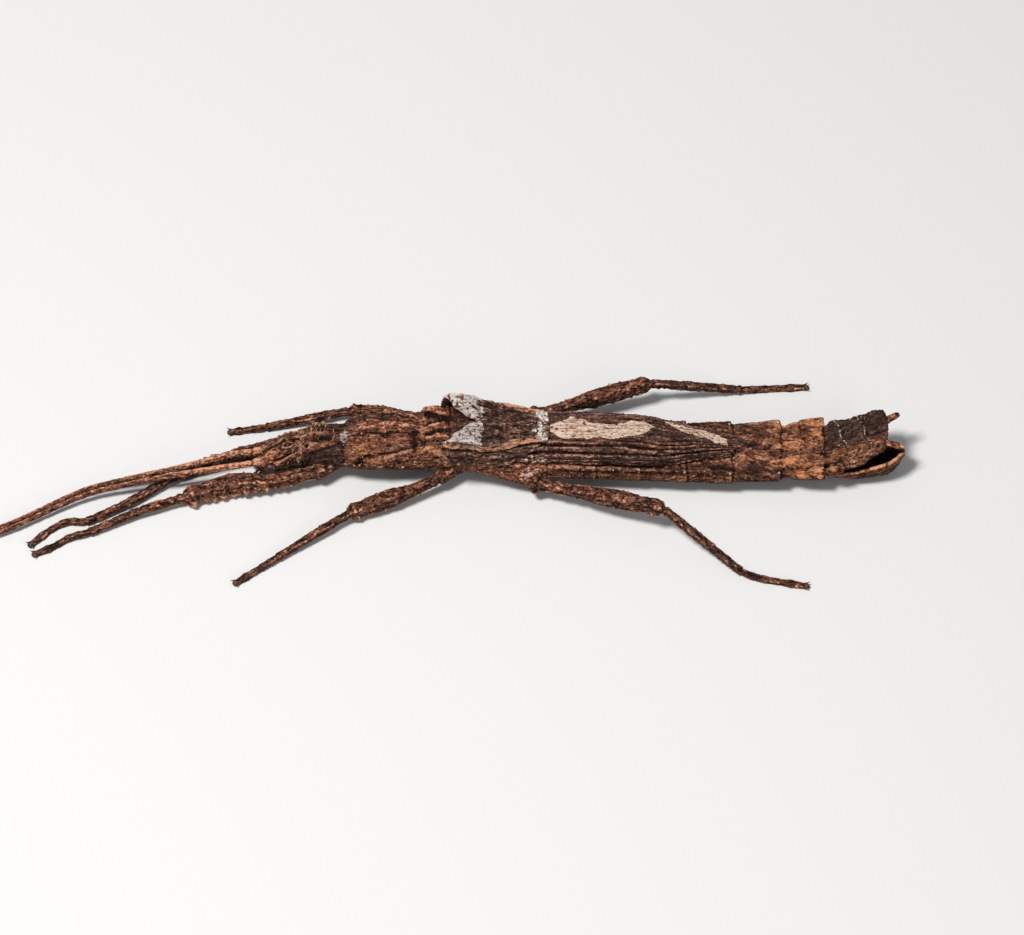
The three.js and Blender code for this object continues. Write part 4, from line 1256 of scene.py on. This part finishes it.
# %% [markdown]
# ## Eyes
# An insect's eye is a dome of many small lenses. At this size the lenses are under a twentieth of a
# millimetre, so they are a bump pattern and not corners. A dark, smooth, slightly purple surface with
# one soft highlight is what makes the eye look wet and alive beside the dull shell.

# %% The eyes
def make_eye_finish():
    material = bpy.data.materials.new("eye")
    material.use_nodes = True
    nodes = NodeSheet(material.node_tree)
    shader = material.node_tree.nodes["Principled BSDF"]
    place = nodes.add("ShaderNodeAttribute", attribute_name="place").outputs["Vector"]
    cells = nodes.plug(nodes.add("ShaderNodeTexVoronoi"), Vector=place, Scale=14.0)
    bump = nodes.plug(nodes.add("ShaderNodeBump"), Height=cells.outputs["Distance"], Distance=0.02 * MM)
    blotch = nodes.pattern(place, (1.0, 1.0, 1.0), 2.5)
    colour = nodes.blend(nodes.ramp(blotch, -0.1, 0.12), (0.020, 0.008, 0.009), (0.085, 0.036, 0.042))
    nodes.plug(shader, Base_Color=colour, Roughness=0.32, Normal=bump.outputs["Normal"], Specular_IOR_Level=0.45)
    return material


eye_finish = make_eye_finish()
for label, side in (("left", LEFT), ("right", RIGHT)):
    made = bmesh.new()
    bmesh.ops.create_uvsphere(made, u_segments=48, v_segments=32, radius=1)
    for face in made.faces:
        face.smooth = True
    mesh = bpy.data.meshes.new(f"eye_{label}_dome")
    made.to_mesh(mesh)
    made.free()
    x, across, height = EYE_PLACE
    middle = np.array([x, trunk_centre(x) + side * across, height])
    points = read(mesh, "vector", "co") * EYE_RADII + middle
    set_corners(mesh, to_scene(points))
    write(mesh, "place", points)
    show(mesh, f"eye_{label}_dome", eye_finish, [f"eye_{label}"])

# %% [markdown]
# ## Small tubes: mouthparts, feelers of the mouth and cerci
# The rest of the limbs are short tubes with the same shell as the legs. Each is given by a few
# points and radii. A stick insect chews leaves, so its mouthparts are a blunt block with four short
# jointed palps, and the cerci are two plain pegs at the tail.

# %% Mouthparts and cerci
def small_tube(name, corners, radii, size, replaced=(), rounding=0.3, tint="warm", flat=1.0):
    """A bark-like tube through a few corners. radii are (share of the length, radius) pairs."""
    points = rounded_path(corners, rounding)
    whole = lengths_along(points)[-1]
    radius = through(*radii)
    seed = 400 + sum(map(ord, name)) % 97

    def thickness(distance):
        wide = radius(distance / whole)
        return wide, wide * flat

    def dress(along, across, straight):
        rough = bark(straight, seed, coarse=0.5)
        tints = {each: 0 * along for each in ("warm", "dark", "lichen")}
        tints[tint] = tints[tint] + 0.5
        tints["relief"] = 0.5 + 0.4 * rough
        return 0.05 * rough, tints

    place = tube_place(points, thickness, shift=seed, cap=0.04)
    return skin(name, size, place, dress, limb_finish, replaced)


mouth_y = trunk_centre(0.5)
small_tube(
    "mouth_skin", [(-0.35, mouth_y, 1.85), (0.5, mouth_y, 1.75), (2.2, mouth_y, 1.7)],
    [(0, 0.5), (0.3, 0.85), (1, 0.75)], (60, 60), ["mouthparts"], flat=1.2, tint="dark",
)
for label, side in (("left", LEFT), ("right", RIGHT)):
    for kind, start, reach in (("long", 0.3, 0.7), ("short", 0.6, 0.5)):
        out = mouth_y + side * (0.3 + start / 2)
        corners = [
            (start, out, 1.5), (start - 0.5 * reach, out + side * 0.2, 1.15),
            (start - 1.0 * reach, out + side * 0.15, 0.75), (start - 1.1 * reach, out - side * 0.1, 0.4),
        ]
        small_tube(f"palp_{kind}_{label}", corners, [(0, 0.17), (0.3, 0.12), (0.6, 0.15), (1, 0.1)], (40, 12))

for label, side, end in (("left", LEFT, (71.3, -1.6, 4.65)), ("right", RIGHT, (71.3, 2.6, 5.15))):
    start = (69.2, side * 1.2, 4.95)
    bend = tuple((a + b) / 2 + lift for a, b, lift in zip(start, end, (0, side * 0.1, 0.1)))
    small_tube(
        f"cercus_skin_{label}", [start, bend, end], [(0, 0.42), (0.5, 0.4), (0.9, 0.34), (1, 0.24)],
        (60, 28), [f"cercus_{label}"], rounding=0.6,
    )

# %% [markdown]
# ## The egg trough
# Under the tail of a female lies a trough of one boat-shaped plate, in which she holds an egg. It is
# modelled open and given its thickness by the same modifier as the wings. Ridges run along its walls
# and gather at the tip, and its rim is paler.

# %% The egg trough
trough_half = through((63.4, 1.9), (66.6, 2.1), (69.4, 1.8), (71, 1.15), (71.9, 0.45))
trough_rim = through((63.4, 1.3), (65.2, 1.9), (68, 2.9), (70.2, 3.3), (71.9, 3.35))
trough_floor = through((63.4, 0.75), (66.6, 0.4), (70, 0.4), (71.1, 1.2), (71.9, 2.5))
trough_centre = through((63.4, -1.3), (67, -1.5), (70, -1.4), (71.9, -1.0))
TROUGH_WALL = 0.3 * MM


def place_trough(along, across):
    x = mix(63.4, 71.9, along)
    turn = math.pi * (across - 0.5)
    offset = trough_half(x) * np.sign(turn) * np.abs(np.sin(turn)) ** 0.8
    drop = np.abs(np.cos(turn)) ** 0.75
    height = mix(trough_rim(x), trough_floor(x), drop)
    points = np.stack([x, trough_centre(x) + offset, height], axis=1)
    return points, np.stack([x, across * 7, 0 * x + 60], axis=1)


def dress_trough(along, across, straight):
    rough = bark(straight, 450, coarse=0.8)
    rim = bell(across, 0.0, 0.05) + bell(across, 1.0, 0.05) + 0.7 * bell(along, 1.0, 0.02)
    ribs = np.cos(across * 2 * math.pi * 13)
    tints = {
        "warm": 0.35 * rim,
        "dark": 0.6 * (1 - rim) * (0.5 + 0.5 * ribs),
        "lichen": 0 * across,
        "relief": 0.5 + 0.5 * (0.6 * rough + 0.5 * ribs + 0.3 * rim - 0.2),
    }
    return 0.05 * rough + 0.05 * ribs * (1 - rim) + 0.06 * rim, tints


trough = skin("trough_skin", (150, 110), place_trough, dress_trough, bark_finish, ["operculum"])
solidify(trough, TROUGH_WALL)

# %% [markdown]
# ## Small things that grow on a skin
# Warts, spines and bristles are solid shapes too, but there are hundreds, so each kind is one joined
# mesh. A unit shape is made once. Copies of it are turned, sized and set on the skin, either at named
# places or scattered with a seeded choice. A particle system could scatter them, but the named ones
# have to stand exactly where the animal has them.

# %% Unit shapes
def unit_shape(name, make):
    """A small mesh, one unit high along z, whose corners know their height."""
    made = bmesh.new()
    make(made)
    mesh = bpy.data.meshes.new(name)
    for face in made.faces:
        face.smooth = True
    made.to_mesh(mesh)
    made.free()
    write(mesh, "rise", np.clip(read(mesh, "vector", "co")[:, 2], 0, 1))
    return mesh


def make_wart(made):
    bmesh.ops.create_icosphere(made, subdivisions=2, radius=1)
    bmesh.ops.scale(made, vec=(1, 1, 0.9), verts=made.verts)


SPINE_RINGS = 4


def make_spine(made):
    """A cone that is cut into rings and bent over."""
    bmesh.ops.create_cone(made, segments=8, radius1=1, radius2=0.08, depth=1, cap_ends=True, cap_tris=True)
    bmesh.ops.translate(made, vec=(0, 0, 0.5), verts=made.verts)
    for ring in range(1, SPINE_RINGS):
        everything = made.verts[:] + made.edges[:] + made.faces[:]
        level = (0, 0, ring / SPINE_RINGS)
        bmesh.ops.bisect_plane(made, geom=everything, dist=1e-5, plane_co=level, plane_no=(0, 0, 1))
    for vertex in made.verts:
        vertex.co.x += 1.1 * vertex.co.z ** 2


wart, spine = unit_shape("wart", make_wart), unit_shape("spine", make_spine)


def grow(name, unit, seeds, material, slot, **tints):
    """Joins copies of a unit shape. Each seed is its point, direction, height and radius, in mm."""
    made = bmesh.new()
    for point, direction, height, radius in seeds:
        first = len(made.verts)
        made.from_mesh(unit)
        made.verts.ensure_lookup_table()
        turned = Vector(direction).to_track_quat("Z", "X").to_matrix().to_4x4()
        sized = Matrix.Diagonal((radius * MM, radius * MM, height * MM, 1))
        moved = Matrix.Translation(to_scene(np.array(point))) @ turned @ sized
        bmesh.ops.transform(made, matrix=moved, verts=made.verts[first:])
    mesh = bpy.data.meshes.new(name)
    made.to_mesh(mesh)
    made.free()
    corners = read(mesh, "vector", "co")
    corners[:, 2] = np.maximum(corners[:, 2], 0)
    set_corners(mesh, corners)
    write(mesh, "place", corners / MM)
    rise = read(mesh, "number", "rise")
    # Each copy's relief rises with its height, which gives its foot painted shade and its tip a painted highlight.
    for tint in TINTS:
        share = tints.get(tint, 0.0)
        write(mesh, tint, np.clip(rise * 0.75 + 0.3, 0, 1) if tint == "relief" else 0 * rise + share)
    return show(mesh, name, material)


class Surface:
    """The corners of a finished skin, to set small things on."""

    def __init__(self, piece):
        self.points = read(piece.data, "vector", "co") / MM - BODY_ORIGIN
        self.normals = read(piece.data, "vector", "normal")
        self.straight = read(piece.data, "vector", "place")

    def nearest(self, x, offset):
        """The corner of the upper side nearest to a place given along and across the part."""
        gaps = (self.straight[:, 0] - x) ** 2 + (self.straight[:, 1] - offset) ** 2
        i = np.argmin(gaps + 100 * (self.normals[:, 2] < -0.2))
        return self.points[i], self.normals[i]

    def scatter(self, count, chance, seed):
        """Corners picked by chance, which gives a weight for each corner."""
        weights = np.maximum(chance(self), 0)
        picked = np.random.default_rng(seed).choice(len(weights), count, False, weights / weights.sum())
        return [(self.points[i], self.normals[i]) for i in picked]


print("a wart has", len(wart.vertices), "corners and a spine", len(spine.vertices))

# %% [markdown]
# ## Claws and pads
# Each foot ends in two hooked claws with a soft, dull pad between them.

# %% Claws and pads
claws, pads = [], []
for tip, ahead in leg_ends.values():
    forward = Vector(ahead).normalized()
    sideways = Vector((-forward.y, forward.x, 0)).normalized()
    for side in (LEFT, RIGHT):
        base = Vector(tip) + sideways * 0.16 * side - forward * 0.15
        claws.append((base + Vector((0, 0, 0.1)), forward + sideways * 0.6 * side, 0.75, 0.16))
    pads.append((Vector(tip) + forward * 0.1, Vector((0, 0, 1)), 0.26, 0.42))

# The furrow colours of claws and pads are painted shade and their crest colours painted highlights.
claw_finish = shell_finish(
    "claw", Furrow=(0.02, 0.008, 0.004), Middle=(0.06, 0.022, 0.010), Crest=(0.22, 0.10, 0.05),
)
pad_finish = shell_finish(
    "pad", Furrow=(0.02, 0.010, 0.006), Middle=(0.06, 0.030, 0.019), Crest=(0.13, 0.075, 0.048),
)
grow("claws", spine, claws, claw_finish, "limb")
grow("pads", wart, pads, pad_finish, "limb")

# %% [markdown]
# ## Warts, spines and bristles
# The pale warts stand at the corners of the rings and along the sides. Yellowish spines crowd the back
# of the head and the collar, and short pale bristles fringe the side of the thorax.

# %% Warts, spines and bristles
on_trunk, on_head = Surface(trunk), Surface(head)


def raised(surface, places):
    """Seeds at named places. Each place is x, offset, height and radius."""
    seeds = []
    for x, offset, height, radius in places:
        point, normal = surface.nearest(x, offset)
        seeds.append((point - normal * height * 0.2, normal, height, radius))
    return seeds


def sprinkled(surface, count, chance, seed, height, radius, lean=0.5):
    """Seeds scattered by chance, with sizes and leanings that vary."""
    chooser = np.random.default_rng(seed)
    seeds = []
    for point, normal in surface.scatter(count, chance, seed):
        share = chooser.uniform(0.6, 1.3)
        tilt = chooser.normal(0, lean, 3)
        seeds.append((point - normal * 0.02, normal + tilt, height * share, radius * chooser.uniform(0.7, 1.2)))
    return seeds


# The furrow colours of the grains and warts are painted shade and their crest colours painted highlights.
crust_finish = shell_finish(
    "crust grains", Furrow=(0.20, 0.15, 0.11), Middle=(0.48, 0.445, 0.38), Crest=(0.75, 0.725, 0.645),
)
wart_finish = shell_finish(
    "warts", Furrow=(0.14, 0.08, 0.05), Middle=(0.36, 0.22, 0.15), Crest=(0.66, 0.48, 0.37),
)
joint_corners = [(joint - 0.3, side * (trunk_width(joint) - 0.5), 0.16, 0.15)
                 for joint in JOINTS[3:9] for side in (LEFT, RIGHT)]
white_places = [
    *joint_corners, (34, -3.6, 0.14, 0.12), (35.6, -3.7, 0.12, 0.1), (39.5, -3.7, 0.12, 0.11),
    (41.4, -3.75, 0.12, 0.1), (14.7, -3.35, 0.12, 0.11), (17.4, -3.35, 0.12, 0.11),
]
grow("pale_warts", wart, raised(on_trunk, white_places), wart_finish, "body")
orange_places = [
    (16.1, -3.4, 0.24, 0.22), (10.6, -3.2, 0.2, 0.2), (11.2, -3.3, 0.2, 0.17), (66.9, -1.2, 0.18, 0.14),
    (14.05, 0.02, 0.2, 0.2), (11.5, 0.0, 0.16, 0.14), (14.2, 3.5, 0.3, 0.24),
    (64.6, -0.3, 0.18, 0.13),
]
grow("orange_warts", wart, raised(on_trunk, orange_places), bark_finish, "body", warm=0.6)


def along_sides(surface):
    """Favours the edges of the thorax and abdomen and the rims of the rings."""
    x, offset = surface.straight[:, 0], surface.straight[:, 1]
    edge = bell(np.abs(offset), trunk_width(x) - 0.1, 0.35) * step(surface.normals[:, 2], -0.5, 0.2)
    edge = edge * (1 + 2 * stretch(x, 9.7, 21))
    rims = sum(bell(x, joint - 0.3, 0.2) for joint in JOINTS[2:])
    return edge * (0.4 + rims) + 0.02 * step(surface.normals[:, 2], 0.2, 0.1)


def on_top(surface):
    return step(surface.normals[:, 2], 0.3, 0.1) * stretch(surface.straight[:, 0], 9.8, 21, 0.2)


def wing_joint(surface):
    x, offset = surface.straight[:, 0], surface.points[:, 1]
    return spot(x, offset, (31.45, -1.1), (0.5, 0.95)) + 0.9 * spot(x, offset, (31.65, 1.4), (0.5, 0.5))


for label, wing in tegmina.items():
    seeds = sprinkled(Surface(wing), 30, wing_joint, 41, 0.12, 0.21)
    grow(f"crust_grains_{label}", wart, seeds, crust_finish, "forewing")
grow("side_grains", wart, sprinkled(on_trunk, 420, along_sides, 11, 0.09, 0.08), bark_finish, "body", warm=0.3)
grow("back_grains", wart, sprinkled(on_trunk, 170, on_top, 12, 0.06, 0.055), bark_finish, "body", warm=0.4)


def collar_zone(surface):
    x, offset = surface.straight[:, 0], surface.straight[:, 1]
    rear = bell(x, 4.9, 0.35) * step(offset, -1.4, 0.2) + 0.6 * bell(x, 6.4, 0.9) * step(offset, 0.9, 0.2)
    return step(surface.normals[:, 2], 0.1, 0.1) * (rear + 0.06 * stretch(x, 4.7, 9.3) * step(offset, -0.9, 0.1))


def skull_zone(surface):
    x, offset = surface.straight[:, 0], surface.straight[:, 1]
    rear = bell(x, 4.4, 0.4) + bell(offset, 1.6, 0.3) * stretch(x, 1.8, 4.7) + 0.15
    return step(surface.normals[:, 2], 0.1, 0.1) * rear * (x < HEAD_END)


# The spines' furrow colour is painted shade and their crest colour a painted highlight.
spine_finish = shell_finish(
    "spines", Furrow=(0.10, 0.045, 0.02), Middle=(0.33, 0.175, 0.085), Crest=(0.64, 0.41, 0.235),
)
grow("collar_spines", spine, sprinkled(on_trunk, 80, collar_zone, 21, 0.42, 0.1), spine_finish, "body")
grow("skull_spines", spine, sprinkled(on_head, 80, skull_zone, 22, 0.3, 0.09), spine_finish, "body")
tail_spines = [
    (52.5, -0.2, 0.5, 0.09), (52.7, -0.5, 0.6, 0.09), (52.9, -0.9, 0.5, 0.09), (53.2, -0.4, 0.4, 0.08),
    (57.9, -0.8, 0.5, 0.09), (58.0, -1.1, 0.4, 0.08), (62.7, -0.4, 0.5, 0.09), (62.8, -0.7, 0.4, 0.08),
]
grow("tail_spines", spine, raised(on_trunk, tail_spines), spine_finish, "body")
grow("tall_spines", spine, raised(on_trunk, [
    (6.2, 2.0, 1.0, 0.16), (6.8, 1.8, 0.9, 0.16), (4.9, 1.6, 0.7, 0.13), (7.3, 2.2, 0.6, 0.13), (6.0, 1.0, 0.7, 0.13),
]), spine_finish, "body")


def flank(surface):
    """The lower side of the thorax, seen below the wings."""
    x, offset = surface.straight[:, 0], surface.straight[:, 1]
    low = bell(surface.normals[:, 2], -0.1, 0.35) * step(np.abs(offset), 2.4, 0.2)
    return low * (stretch(x, 22, 32) + 0.04 * stretch(x, 9.7, 60))


grow("bristles", spine, sprinkled(on_trunk, 160, flank, 31, 0.4, 0.022, 0.4), spine_finish, "body")

# %% [markdown]
# ## The stage
# A long lens looks down at the insect from its left at about fifty degrees. The floor is plain and
# pale. One large soft lamp gives the shape, a smaller one opens the shadows on the near side, and the
# world fills what is left.

# %% Floor, lamps and camera
bpy.ops.mesh.primitive_plane_add(size=1.6, location=(0, 0, 0))
floor = bpy.context.object
floor.name = "floor"
floor_finish = bpy.data.materials.new("floor")
floor_finish.use_nodes = True
floor_shader = floor_finish.node_tree.nodes["Principled BSDF"]
floor_shader.inputs["Base Color"].default_value = (0.66, 0.65, 0.63, 1)
floor_shader.inputs["Roughness"].default_value = 0.7
floor.data.materials.append(floor_finish)

PIXELS_PER_MM = 9.0
IMAGE_SIZE = (1024, 935)
SENSOR_WIDTH = 36.0  # mm
LENS = 400.0  # mm
ELEVATION = math.radians(50)
ORIGIN_PIXEL = (258, 462)  # where the origin of the body's frame is seen
AIM_HEIGHT = 3.0  # mm above the floor


def aim_point():
    """The place in the scene that lies in the middle of the picture, at the aim height."""
    right = (IMAGE_SIZE[0] / 2 - ORIGIN_PIXEL[0]) / PIXELS_PER_MM
    up = (ORIGIN_PIXEL[1] - IMAGE_SIZE[1] / 2) / PIXELS_PER_MM
    away = (up - AIM_HEIGHT * math.cos(ELEVATION)) / math.sin(ELEVATION)
    return Vector(to_scene(np.array([right, away, AIM_HEIGHT])))


camera_data = bpy.data.cameras.new("camera")
camera_data.sensor_width = SENSOR_WIDTH
camera_data.lens = LENS
camera_data.clip_start = 0.01
camera = bpy.data.objects.new("camera", camera_data)
bpy.context.scene.collection.objects.link(camera)
distance = LENS / SENSOR_WIDTH * IMAGE_SIZE[0] / PIXELS_PER_MM * MM
camera.location = aim_point() + distance * Vector((0, -math.cos(ELEVATION), math.sin(ELEVATION)))
camera.rotation_euler = (math.pi / 2 - ELEVATION, 0, 0)
bpy.context.scene.camera = camera


def lamp(name, place, size, power):
    data = bpy.data.lights.new(name, "AREA")
    data.size = size
    data.energy = power
    made = bpy.data.objects.new(name, data)
    bpy.context.scene.collection.objects.link(made)
    made.location = place
    made.rotation_euler = (-Vector(place)).to_track_quat("-Z", "Y").to_euler()


lamp("key", (-0.22, -0.12, 0.55), 0.14, 4.3)
lamp("fill", (0.35, -0.5, 0.3), 0.3, 0.8)

world = bpy.data.worlds.new("studio")
world.use_nodes = True
world.node_tree.nodes["Background"].inputs["Color"].default_value = (0.9, 0.93, 1.0, 1)
world.node_tree.nodes["Background"].inputs["Strength"].default_value = 0.27
bpy.context.scene.world = world
bpy.context.scene.view_settings.view_transform = "Standard"

print("camera distance:", round(distance, 3), "m; lamps:", len(bpy.data.lights))
